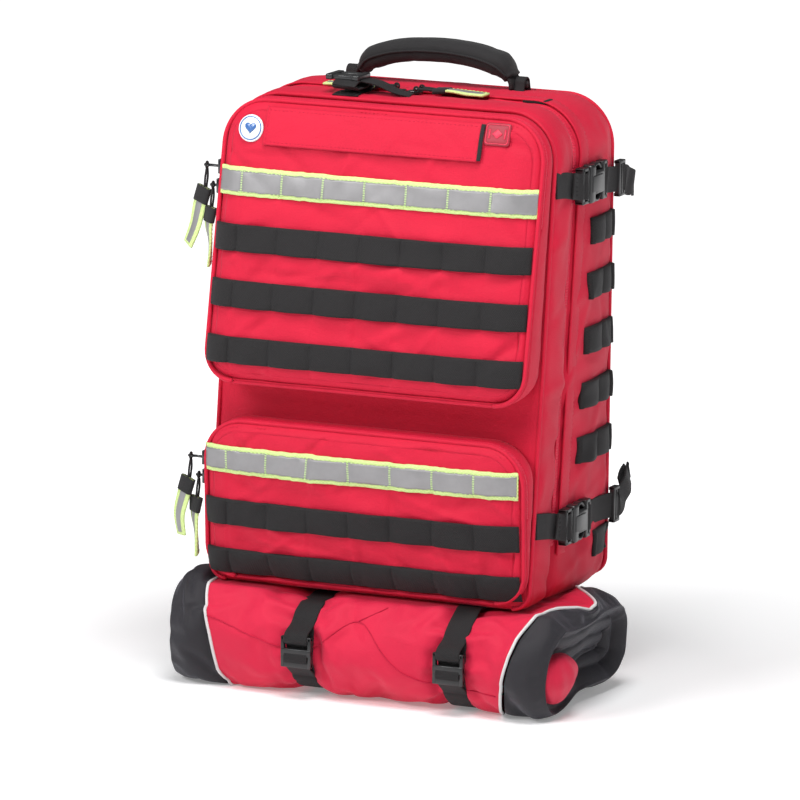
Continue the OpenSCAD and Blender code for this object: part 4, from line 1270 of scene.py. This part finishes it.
for rank, way in (("left", -1), ("right", 1)):
    name = f"main_pull_{rank}"
    low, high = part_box(f"main_slider_{rank}")
    middle = (low + high) / 2
    base = bag_high[2]
    x0 = middle[0] - way * 0.0005
    hub = np.array([x0 + way * 0.0045, middle[1], base + 0.006])
    body = [block_at((x0, middle[1], base), (-0.0068, -0.0048, 0.0006), (0.0068, 0.0048, 0.0040), 0, 0.001),
            swept([hub - (0, 0.0078, 0), hub, hub + (0, 0.0078, 0)], round_profile(0.0014, 12),
                  (1, 0, 0), (0, 0, 1)),
            block_at(hub, (-0.0014, -0.0050, -0.0030), (0.0014, 0.0050, -0.0004), 1, 0.0005)]
    slider = piece(f"main_zip_slider_{rank}", body, black_enamel, f"main_slider_{rank}")
    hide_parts(f"main_slider_{rank}")
    lime, grey, dark, edges = pull_tape(hub + [(way * 0.0175, -0.0005, -0.0008), (way * 0.034, -0.001, 0.0004),
                                               (way * 0.052, -0.0015, -0.0006), (way * 0.0695, -0.002, -0.0010)],
                                        (0, 0, 1), (0.0, 0.05, -0.05, 0.0))
    cords = [swept(smooth_path(hub + [(0, s * 0.0066, 0), (way * 0.009, s * 0.0050, 0.0002),
                                      (way * 0.0185, s * 0.0040, -0.0004)], 16),
                   round_profile(0.0013, 8), (0, 1, 0), (0, 0, 1)) for s in (-1, 1)]
    cords += [hoop(hub + (0, s * 0.0066, 0), 0.0024, 0.0009, (0, 1, 0)) for s in (-1, 1)]
    dress_pull(name, name, lime, grey, dark, edges, cords)


# ---------------------------------------------------------------- blanket roll
# A padded blanket, rolled and cinched by two straps. Rings of a rounded section run along it; cloth
# simulation with a little pressure puffs it up between the straps. White piping divides the red
# cover from the dark ends, whose faces show the rolled layers as a spiral.
roll_low, roll_high = (np.array(corner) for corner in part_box("roll_blanket"))
roll_mid = np.array([0, (roll_low[1] + roll_high[1]) / 2, roll_high[2] / 2])
strap_low, strap_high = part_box("roll_straps")
roll_strap_x = (strap_low[0] + web_width / 2, strap_high[0] - web_width / 2)
around = 132


def section_ring(width, height, radius):
    """A rounded rectangle walked at even steps, as (fore-aft, up) from its middle, with outward units."""
    flat = rounded_square(width, height, radius, 24)
    loop = np.concatenate([flat, flat[:1]])
    run = np.concatenate([[0], np.cumsum(np.linalg.norm(np.diff(loop, axis=0), axis=1))])
    at = np.linspace(0, run[-1], around, endpoint=False)
    spots = np.stack([np.interp(at, run, loop[:, k]) for k in (0, 1)], -1)
    way = facing_unit(np.roll(spots, -1, 0) - np.roll(spots, 1, 0))
    return spots, np.stack([way[:, 1], -way[:, 0]], -1), run[-1]


spots, outs, girth = section_ring(roll_high[1] - roll_low[1] - 0.006, roll_high[2] - 0.005, 0.040)
bearing = np.degrees(np.arctan2(spots[:, 1], -spots[:, 0]))
lap = np.arange(around) / around * girth


def round_about(table):
    """A value that changes with the bearing round the section: 0 is the front, 90 the top."""
    table = sorted(table)
    keys = [table[-1][0] - 360] + [k for k, _ in table] + [table[0][0] + 360]
    values = [table[-1][1]] + [v for _, v in table] + [table[0][1]]
    fine = np.interp(np.arange(-180, 180, 3), keys, values)
    kernel = np.exp(-np.linspace(-2, 2, 9) ** 2)
    fine = np.convolve(np.concatenate([fine[-4:], fine, fine[:4]]), kernel / kernel.sum(), "valid")
    return np.interp(bearing, np.arange(-180, 180, 3), fine, period=360)


left_edge_x = round_about([(-150, -0.140), (-90, -0.106), (-50, -0.122), (-20, -0.138), (0, -0.144), (30, -0.157),
                           (60, -0.161), (90, -0.160), (150, -0.160)])
right_edge_x = round_about([(-150, 0.145), (-90, 0.130), (-50, 0.136), (-20, 0.151), (5, 0.162), (30, 0.177),
                            (55, 0.191), (78, 0.200), (95, 0.204), (112, 0.190), (135, 0.165), (170, 0.155)])
left_tip_x = round_about([(-90, -0.186), (-45, -0.190), (0, -0.187), (50, -0.192), (90, -0.204), (135, -0.214),
                         (180, -0.214)])
right_tip_x = round_about([(-90, 0.190), (-40, 0.194), (0, 0.196), (50, 0.207), (85, 0.208), (140, 0.204),
                           (180, 0.200)])
left_corners = np.exp(-((bearing - 48) / 24) ** 2) + 0.9 * np.exp(-((bearing + 42) / 22) ** 2)
front_foot = np.exp(-((bearing + 32) / 38) ** 2)
back_top = np.exp(-((bearing - 112) / 34) ** 2)


def roll_point(x, inset):
    """Rows of the roll at x (one value per bearing), drawn in by inset along the section's normals."""
    return np.stack([x + 0 * lap, roll_mid[1] + spots[:, 0] - inset * outs[:, 0],
                     roll_mid[2] + spots[:, 1] - inset * outs[:, 1]], -1)


def cinch(x):
    """How far the straps draw the roll in, with folds that gather towards them."""
    pull = np.zeros_like(x)
    for k, strap in enumerate(roll_strap_x):
        away = np.abs(x - strap)
        pull = pull + 0.0062 * np.exp(-(away / 0.020) ** 2)
        gather = np.sin(2 * math.pi * lap / 0.026 + 1.9 * k + 1.4 * np.sin(lap * 31 + k)) * 0.5
        gather = gather + np.sin(2 * math.pi * lap / 0.017 + 2.2 * np.sin(lap * 19 + 2 * k)) * 0.3
        pull = pull - 0.0030 * gather * np.exp(-((away - 0.022) / 0.020) ** 2) * (away > 0.006)
    return pull


tube = []
for share in np.linspace(0, 1, 13)[:-1]:
    x = left_tip_x + (left_edge_x - left_tip_x) * share
    tube.append(roll_point(x, 0.0010 + 0.006 * (1 - share) ** 3 - 0.010 * left_corners * (1 - share) ** 0.6))
first_red = len(tube)
for share in np.linspace(0, 1, 76):
    x = left_edge_x + (right_edge_x - left_edge_x) * share
    spread = np.clip((x - 0.100) / 0.080, 0, 1) ** 2
    tube.append(roll_point(x, cinch(x) - spread * (0.010 * front_foot + 0.004 * back_top)))
last_red = len(tube) - 1
for share in np.linspace(0, 1, 12)[1:]:
    x = right_edge_x + (right_tip_x - right_edge_x) * share
    spread = np.clip((x - 0.100) / 0.080, 0, 1) ** 2
    tube.append(roll_point(x, 0.0005 + 0.010 * share ** 3 - spread * (0.010 * front_foot + 0.004 * back_top)))
tube = np.array(tube)
fold = creases(tube[..., 0], lap[None], 201, 150, (-0.22, 0.21, 0, girth), (0.006, 0.030), 0.0026)
fold += creases(tube[..., 0], lap[None], 202, 30, (-0.22, 0.21, 0, girth), (0.016, 0.06), 0.0034)
tube[..., 1] += fold * outs[:, 0]
tube[..., 2] += fold * outs[:, 1]


def simulate_puff(points, pinned, cap):
    """Cloth pressure on a closed tube of points; pinned rows hold still and no point moves past cap."""
    spots_in, faces, _ = patch(points, closed_v=True, cap_u=True)
    mesh = bpy.data.meshes.new("puff")
    mesh.from_pydata(spots_in.tolist(), [], faces)
    face_outward(mesh)
    blank = bpy.data.objects.new("puff", mesh)
    bpy.context.collection.objects.link(blank)
    group = blank.vertex_groups.new(name="held")
    rows = np.arange(len(spots_in)).reshape(points.shape[:2])
    for row, weight in enumerate(pinned):
        if weight > 0:
            group.add(rows[row].tolist(), float(weight), "REPLACE")
    cloth = blank.modifiers.new("cloth", "CLOTH")
    cloth.settings.quality = 6
    cloth.settings.mass = 0.3
    cloth.settings.use_pressure = True
    cloth.settings.uniform_pressure_force = 4.0
    cloth.settings.shrink_min = -0.05
    cloth.settings.vertex_group_mass = "held"
    cloth.settings.tension_stiffness = 18
    cloth.settings.bending_stiffness = 0.6
    cloth.settings.effector_weights.gravity = 0.0
    scene = bpy.context.scene
    for frame_number in range(1, 21):
        scene.frame_set(frame_number)
    result = blank.evaluated_get(bpy.context.evaluated_depsgraph_get())
    moved = np.zeros(len(spots_in) * 3)
    result.data.vertices.foreach_get("co", moved)
    scene.frame_set(1)
    bpy.data.objects.remove(blank)
    shift = moved.reshape(-1, 3) - spots_in
    size = np.linalg.norm(shift, axis=1, keepdims=True)
    shift *= np.minimum(1, cap / np.maximum(size, 1e-9))
    return (spots_in + shift).reshape(points.shape)


hold = np.zeros(len(tube))
for row, x in enumerate(tube[..., 0].mean(1)):
    hold[row] = max(np.exp(-((x - strap) / 0.010) ** 2) for strap in roll_strap_x)
hold[hold < 0.3] = 0
hold[[0, -1]] = 1
tube = simulate_puff(tube, hold, 0.008)
under_bag = ((np.abs(tube[..., 0]) < bag_width / 2 + 0.002) & (tube[..., 1] > seam_y(0.1) - 0.010)
             & (tube[..., 1] < back_y + 0.004))
under_pocket = (np.abs(tube[..., 0]) < 0.166) & (tube[..., 1] > lower_y(lower.low) + 0.001)
ceiling = np.where(under_bag | under_pocket, 0.0968, 0.108)
height = tube[..., 2]
height = np.where(height > ceiling - 0.004, ceiling - 0.004 * np.exp(-(height - ceiling + 0.004) / 0.004), height)
tube[..., 2] = np.where(height < 0.004, 0.0006 + 0.0034 * np.exp((height - 0.004) / 0.004), height)
wall = -0.0862 - 0.0120 * np.clip((tube[..., 0] - 0.110) / 0.070, 0, 1) ** 2
depth = tube[..., 1]
tube[..., 1] = np.where(depth < wall, wall - 0.0030 * (1 - np.exp((depth - wall) / 0.0030)), depth)


def rolled_end(ring, way, turns_in, pitch, sunk, tongue):
    """The face of one end: rings drawn in to the middle line, scored by a spiral of rolled layers."""
    centre = roll_mid[1:]
    rings = [ring]
    phase = (bearing / 360.0) % 1.0
    base = ring[:, 1:] - centre
    reach = 0.0455
    for depth in np.concatenate([np.linspace(0.0012, 0.012, 8), np.linspace(0.0135, reach, 24)]):
        inner = np.stack([base[:, 0] - outs[:, 0] * depth, base[:, 1] - outs[:, 1] * depth], -1)
        inner[:, 1] = np.clip(inner[:, 1], -roll_mid[2] + 0.002, None)
        layer = (depth - 0.006 + pitch * phase * turns_in) / pitch
        swell = np.sqrt(np.abs(np.sin(math.pi * layer)))
        dip = sunk * (depth / reach) ** 0.8
        lip = 0.004 * np.exp(-(depth / 0.006) ** 2)
        x = ring[:, 0] + way * (0.006 * (swell - 0.6) * min(1, depth / 0.006) - dip + lip * (depth > 0))
        x = x + tongue * np.exp(-((bearing + 15) / 42) ** 2 - ((depth - 0.030) / 0.012) ** 2)
        rings.append(np.concatenate([x[:, None], inner + centre], -1))
    return np.array(rings)


left_rings = rolled_end(tube[0], -1, 1, 0.0145, 0.010, 0.0)
right_rings = rolled_end(tube[-1], 1, -1, 0.0150, 0.022, 0.0)
slate_cloth = woven_cloth("slate_cloth", (0.024, 0.022, 0.027), grain=0.6, rough=0.55, sheen=0.2,
                          sheen_tint=(0.6, 0.6, 0.7))
cover_red = woven_cloth("cover_red", (0.76, 0.012, 0.060), grain=0.6, rough=0.60, sheen=0.3,
                        sheen_tint=(1, 0.3, 0.4))
cover = piece("roll_cover", [patch(tube[first_red:last_red + 1], closed_v=True)], cover_red, "bag")
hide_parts("roll_blanket")
left_end = piece("roll_end_left", [patch(np.concatenate([left_rings[::-1], tube[1:first_red + 1]]), closed_v=True,
                                         cap_u=True)], slate_cloth, "bag")
right_end = piece("roll_end_right", [patch(np.concatenate([tube[last_red:], right_rings[1:]]), closed_v=True,
                                           cap_u=True)], slate_cloth, "bag")

# A red fold of the cover pushes out between the layers of the right end, gathered at its foot.
polar, turn = np.meshgrid(np.linspace(0.02, math.pi - 0.02, 31), np.linspace(0, 2 * math.pi, 64, endpoint=False),
                          indexing="ij")
gather = 1 + 0.045 * np.sin(9 * turn + 2 * np.cos(polar)) * np.sin(polar) + 0.05 * np.cos(4 * polar + turn)
girth_here = np.sin(polar) ** 0.8 * (1 + 0.25 * np.cos(polar - 0.5)) * gather
bulge = np.stack([0.192 + 0.0150 * girth_here * np.cos(turn), -0.042 + 0.029 * girth_here * np.sin(turn),
                  0.037 + 0.0235 * np.cos(polar)], -1)
red_fold = piece("roll_red_fold", [patch(bulge, closed_v=True, cap_u=True)], cover_red, "bag")
modifier(red_fold, "SUBSURF", levels=1, render_levels=1)
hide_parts("roll_ends")
for made in (cover, left_end, right_end):
    face_outward(made.data)
    modifier(made, "SUBSURF", levels=1, render_levels=1)

white_cord = woven_cloth("white_cord", (0.82, 0.80, 0.80), grain=0.5, rough=0.6, sheen=0.1)
piping = []
for row in (first_red, last_red):
    line = tube[row]
    away = facing_unit(np.concatenate([np.zeros((around, 1)), outs], -1))
    line = line + 0.0004 * away
    points = line[:, None] + round_profile(0.0016, 8)[None, :, :1] * np.array([1.0, 0, 0]) \
        + round_profile(0.0016, 8)[None, :, 1:] * away[:, None]
    points[..., 2] = np.maximum(points[..., 2], 0.0002)
    piping.append(patch(points, closed_u=True, closed_v=True))
roll_piping = piece("roll_piping", piping, white_cord, "bag")

roll_tree = BVHTree.FromPolygons(tube.reshape(-1, 3).tolist(), patch(tube, closed_v=True, cap_u=True)[1])


def on_roll(x, y, z, way, lift):
    """The first point of the roll met from (x, y, z) along way, lifted off its surface."""
    hit = roll_tree.ray_cast(Vector((x, y, z)), Vector(way))
    return np.array(hit[0]) - np.array(way) * lift if hit[0] is not None else None


seam_lines = []
for line in (((-0.150, 0.070), (-0.039, 0.051), (0.003, 0.078), (0.057, 0.036), (0.074, 0.030), (0.150, 0.024)),
             ((0.003, 0.078), (0.030, 0.092))):
    steps = smooth_path([(x, 0, z) for x, z in line], 90) if len(line) > 2 else np.linspace(
        (line[0][0], 0, line[0][1]), (line[1][0], 0, line[1][1]), 20)
    traced = [on_roll(x, -0.3, z, (0, 1, 0), 0.0003) for x, _, z in steps]
    traced = np.array([t for t in traced if t is not None])
    if len(traced) > 4:
        seam_lines.append(swept(traced, round_profile(0.0006, 6), (0, 0, 1), (0, -1, 0)))
roll_seam = piece("roll_seam", seam_lines, red_lining, "bag")


# ---------------------------------------------------------------- roll straps and ladder locks
# One webbing strap goes round the roll at each cinch, through a ladder lock at the front.
belts = []
for strap in roll_strap_x:
    turn = np.linspace(-0.5 * math.pi, 1.5 * math.pi, 121)
    reach = []
    for angle in turn:
        hits = []
        for side in (-0.010, 0, 0.010):
            way = Vector((0, -math.cos(angle), -math.sin(angle)))
            start = Vector((strap + side, roll_mid[1], roll_mid[2])) - way * 0.3
            hit = roll_tree.ray_cast(start, way)
            hits.append(0.3 - hit[3] if hit[0] is not None else 0.05)
        reach.append(max(hits))
    reach = np.array(reach[:-1])
    reach = (reach + np.roll(reach, 1) + np.roll(reach, -1)) / 3 + 0.0008
    reach = np.concatenate([reach, reach[:1]])
    belt = np.stack([np.full(121, strap), roll_mid[1] + reach * np.cos(turn),
                     roll_mid[2] + reach * np.sin(turn)], -1)
    belt[:, 2] = np.clip(belt[:, 2], 0.0012, 0.0965)
    belt[:, 1] = np.clip(belt[:, 1], -0.0850, None)
    _, out, aside = along_path(belt, belt - (strap, roll_mid[1], roll_mid[2]))
    belts.append(swept(belt, flat_profile(0.0245, 0.0019), aside, out))
    front = -0.0860
    lock_box_low, lock_box_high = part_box("ladder_lock_left" if strap < 0 else "ladder_lock_right")
    lock_y, lock_z0, lock_z1 = (lock_box_low[1] + lock_box_high[1]) / 2, lock_box_low[2], lock_box_high[2]
    facing_half = belt[belt[:, 1] < roll_mid[1] - 0.02]
    climb = np.argsort(facing_half[:, 2])
    rises = np.array([lock_z1 + 0.020, lock_z1 + 0.010, lock_z0 - 0.020, lock_z0 - 0.009])
    belt_y = np.interp(rises, facing_half[climb, 2], facing_half[climb, 1])
    belts.append(ribbon([(strap, belt_y[0] + 0.0004, rises[0]), (strap, belt_y[1] - 0.0014, rises[1]),
                         (strap, lock_y - 0.0030, lock_z1 - 0.001), (strap, lock_y - 0.0030, lock_z1 - 0.005),
                         (strap, lock_y + 0.0030, lock_z1 - 0.009), (strap, front - 0.0004, lock_z1 - 0.012)],
                        0.0240, 0.0017, (0, -1, 0), 50))
    belts.append(ribbon([(strap, belt_y[2] + 0.0004, rises[2]), (strap, belt_y[3] - 0.0012, rises[3]),
                         (strap, lock_y + 0.0010, lock_z0 + 0.002), (strap, lock_y - 0.0030, lock_z0 + 0.0085),
                         (strap, lock_y - 0.0030, lock_z0 + 0.0125), (strap, lock_y + 0.0026, lock_z0 + 0.0175)],
                        0.0240, 0.0017, (0, -1, 0), 50))
belt_piece = piece("roll_webbing", belts, black_web, "bag")
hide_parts("roll_straps")
for rank in ("left", "right"):
    low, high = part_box(f"ladder_lock_{rank}")
    bars = [block((low[0], low[1], high[2] - 0.0042), (high[0], high[1], high[2]), 0, 0.001),
            block((low[0], low[1] - 0.0008, low[2] + 0.0112), (high[0], high[1] - 0.001, low[2] + 0.0182), 0),
            block((low[0], low[1] + 0.0004, low[2]), (high[0], high[1], low[2] + 0.0062), 0, 0.0012)]
    for x in (low[0], high[0] - 0.0034):
        bars.append(block((x, low[1], low[2]), (x + 0.0034, high[1], high[2]), 2, 0.001))
    lock = piece(f"roll_ladder_lock_{rank}", bars, black_plastic, f"ladder_lock_{rank}")
    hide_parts(f"ladder_lock_{rank}")


# ---------------------------------------------------------------- back panel and harness
# Guessed from ordinary rigid-backed packs: a padded mesh back panel with sewn channels, a padded
# yoke, and two contoured shoulder straps with ladder locks and webbing down to sewn anchors.
pad_low, pad_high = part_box("back_pad")
pad_cut = dict(width=pad_high[0] - pad_low[0], low=pad_low[2], high=pad_high[2], low_r=0.040, high_r=0.040)


def back_crown(x, z):
    """The back panel's swell: two long pads either side of a hollow spine, quilted across."""
    half = pad_cut["width"] / 2
    side = np.clip(np.abs(x) / half, 0, 1)
    swell = 0.0076 * (1 - side ** 8) * np.clip(1 - ((z - (pad_low[2] + pad_high[2]) / 2) / 0.206) ** 10, 0, 1)
    spine = 0.0046 * np.exp(-(x / 0.013) ** 2)
    lines = np.linspace(pad_low[2] + 0.07, pad_high[2] - 0.07, 5)
    channel = sum(np.exp(-((z - line) / 0.0028) ** 2) for line in lines)
    return swell - spine - 0.0030 * np.clip(channel, 0, 1) * (np.abs(x) > 0.022) * (side < 0.93)


pad_rings = [(0.012, lambda x, z: back_y + back_crown(x, z)), (0.006, lambda x, z: back_y + back_crown(x, z) * 0.9),
             (0.003, lambda x, z: back_y + 0.0044), (0.0010, lambda x, z: back_y + 0.0030),
             (0.0004, lambda x, z: back_y + 0.0006)]
back_panel = piece("back_panel", ringed(pad_cut, pad_rings, front=True, rear=True, columns=110, arc=14, middle=130),
                   woven_cloth("spacer_mesh", (0.024, 0.023, 0.025), grain=2.2, rough=0.9), "bag")
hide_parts("back_pad")
edge_x, edge_z = arch(pad_cut, 0.0012, 0.0)
edge_path = np.stack([edge_x, np.full_like(edge_x, back_y + 0.0034), edge_z], -1)
panel_edge = swept(edge_path, round_profile(0.0019, 8), (0, 1, 0), arch_frame(edge_x, edge_z))
panel_binding = piece("back_panel_binding", [panel_edge], black_web, "bag")

yoke_low, yoke_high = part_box("shoulder_yoke")
yoke_mid = (yoke_low + yoke_high) / 2
turn = np.linspace(0, 2 * math.pi, 32, endpoint=False)
yoke_ring = np.stack([0.0138 * squared(np.sin(turn), 0.7), 0.0072 * squared(np.cos(turn), 0.7)], -1)
yoke_x = np.linspace(yoke_low[0] + 0.001, yoke_high[0] - 0.001, 50)
close = np.clip(np.minimum(yoke_x - yoke_low[0], yoke_high[0] - yoke_x) / 0.010, 0.1, 1) ** 0.4
yoke_points = np.stack([yoke_x[:, None] + 0 * turn, yoke_mid[1] + close[:, None] * yoke_ring[None, :, 1],
                        yoke_mid[2] + close[:, None] * yoke_ring[None, :, 0]], -1)
yoke_points[..., 2] += creases(yoke_x[:, None], turn[None] * 0.01, 61, 30, (-0.09, 0.09, 0, 0.06),
                               (0.004, 0.02), 0.0008)
yoke = piece("harness_yoke", [patch(yoke_points, closed_v=True, cap_u=True)], black_cloth, "bag")
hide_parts("shoulder_yoke")

lean_out = math.radians(8.5)
hang_from = np.array([0.058, back_y + 0.021, 0.525])


def in_strap(x, y, down):
    """Strap coordinates, across and off the back and down its length, put in the bag's frame."""
    x, y, down = np.broadcast_arrays(np.asarray(x, float), y, down)
    return hang_from + np.stack([x * math.cos(lean_out) + down * math.sin(lean_out), y,
                                 x * math.sin(lean_out) - down * math.cos(lean_out)], -1)


def strap_bow(down):
    return 0.015 * np.sin(math.pi * np.clip((down - 0.040) / 0.230, 0, 1))


down = np.linspace(0.040, 0.270, 90)
close = np.clip(np.minimum(down - 0.036, 0.274 - down) / 0.016, 0.1, 1) ** 0.5
turn = np.linspace(0, 2 * math.pi, 40, endpoint=False)
ring_x = 0.0278 * squared(np.cos(turn), 0.55)
ring_y = 0.0068 * squared(np.sin(turn), 0.8)
dimples = creases(down[:, None], ring_x[None], 71, 40, (0.04, 0.27, -0.03, 0.03), (0.004, 0.02), 0.0007)
foam = in_strap(close[:, None] * ring_x, (strap_bow(down) + 0.007)[:, None] + close[:, None] * ring_y + dimples,
                down[:, None])
harness = {"pad": [patch(foam, closed_v=True, cap_u=True)], "web": [], "lock": []}
for side in (-1, 1):
    line = in_strap(side * 0.0272 * close, strap_bow(down) + 0.007, down)[2:-2]
    _, out, aside = along_path(line, (0, 1, 0))
    harness["web"].append(swept(line, flat_profile(0.0040, 0.0036), out, aside))
middle = in_strap(0, strap_bow(down) + 0.0146, down)[6:84]
_, out, aside = along_path(middle, (0, 1, 0))
harness["web"].append(swept(middle, flat_profile(0.0245, 0.0018), aside, out))
for lower_end, upper_end, y0 in ((0.044, 0.010, 0.0022), (0.392, 0.262, 0.0036)):
    steps = np.linspace(upper_end, lower_end, 40)
    tail = in_strap(0, y0 + (strap_bow(steps) if lower_end < 0.1 else 0.0), steps)
    _, out, aside = along_path(tail, (0, 1, 0))
    harness["web"].append(swept(tail, flat_profile(0.0245, 0.0020), aside, out))
for place in (0.278, 0.2875, 0.298):
    bar = in_strap(np.linspace(-0.0155, 0.0155, 6), 0.0062, place)
    harness["lock"].append(swept(bar, flat_profile(0.0042, 0.0040), (0, 1, 0), (0, 0, 1)))
for side in (-1, 1):
    rail = in_strap(side * 0.0150, 0.0062, np.linspace(0.276, 0.300, 6))
    harness["lock"].append(swept(rail, flat_profile(0.0046, 0.0038), (0, 1, 0), (1, 0, 0)))
for side, name in ((1, "right"), (-1, "left")):
    body = f"shoulder_strap_{name}"
    flip = (lambda p: p) if side > 0 else mirrored
    pad = piece(f"shoulder_pad_{name}", flip(harness["pad"]), black_cloth, body)
    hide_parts(body)
    piece(f"shoulder_webbing_{name}", flip(harness["web"]), black_web, body)
    piece(f"shoulder_ladder_lock_{name}", flip(harness["lock"]), black_plastic, body)

anchor_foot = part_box("lower_strap_anchors")[0][2]
tabs = []
wing = [(0.100, back_y + 0.0020, 0.104), (0.118, back_y + 0.0060, 0.110), (0.128, back_y + 0.0130, 0.116),
        (0.134, back_y + 0.0180, 0.121)]
tabs.append(ribbon(wing, 0.021, 0.0030, (0, 1, 0.3), 30))
tabs.append(hoop((0.1345, back_y + 0.0165, 0.1200), 0.0050, 0.0011, (0.3, 1, 0)))
tabs.append(wall_strap(anchor_foot + 0.036, 0.094, back_y - 0.002, [0.100, back_y - 0.008], bow=0.0016, seed=55))
lower_tabs = piece("lower_strap_tabs", tabs + mirrored(tabs), black_web, "bag")
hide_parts("lower_strap_anchors")


# ---------------------------------------------------------------- inside the bag
# Four soft organiser pouches on the back half, and the stiff plastic sheet behind them.
pouch_low, pouch_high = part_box("inner_pouches")
pouches, zips = [], []
turn = np.linspace(0, 2 * math.pi, 48, endpoint=False)
for side in (-1, 1):
    for low in (pouch_low[2], pouch_high[2] - 0.180):
        centre = np.array([side * 0.074, (pouch_low[1] + pouch_high[1]) / 2, low + 0.090])
        depth = (pouch_high[1] - pouch_low[1]) / 2
        rows = []
        for s in np.linspace(-1, 1, 25):
            hold_in = (1 - abs(s) ** 6) ** 0.35 * 0.97 + 0.03
            outline = np.stack([0.0695 * squared(np.cos(turn), 0.35), 0.0895 * squared(np.sin(turn), 0.35)],
                               -1) * hold_in
            rows.append(np.stack([centre[0] + outline[:, 0], np.full(48, centre[1] + s * (depth - 0.0005)),
                                  centre[2] + outline[:, 1]], -1))
        pouches.append(patch(np.array(rows), closed_v=True, cap_u=True))
        zip_line = np.linspace(centre + (-0.05, 0, 0.060), centre + (0.05, 0, 0.060), 60)
        zip_line[:, 1] = pouch_low[1] + 0.0002
        zips.append(swept(zip_line, flat_profile(0.006, 0.0016), (0, 0, 1), (0, -1, 0)))
pouch_piece = piece("organiser_pouches", pouches, slate_cloth, "bag")
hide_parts("inner_pouches")
piece("organiser_zips", zips, red_coil, "bag")
sheet_plastic = moulded("sheet_plastic", (0.70, 0.70, 0.67), rough=0.45, grain=0.1)
frame_sheet = bpy.data.objects["frame_sheet"]
frame_sheet.data.materials.clear()
frame_sheet.data.materials.append(sheet_plastic)
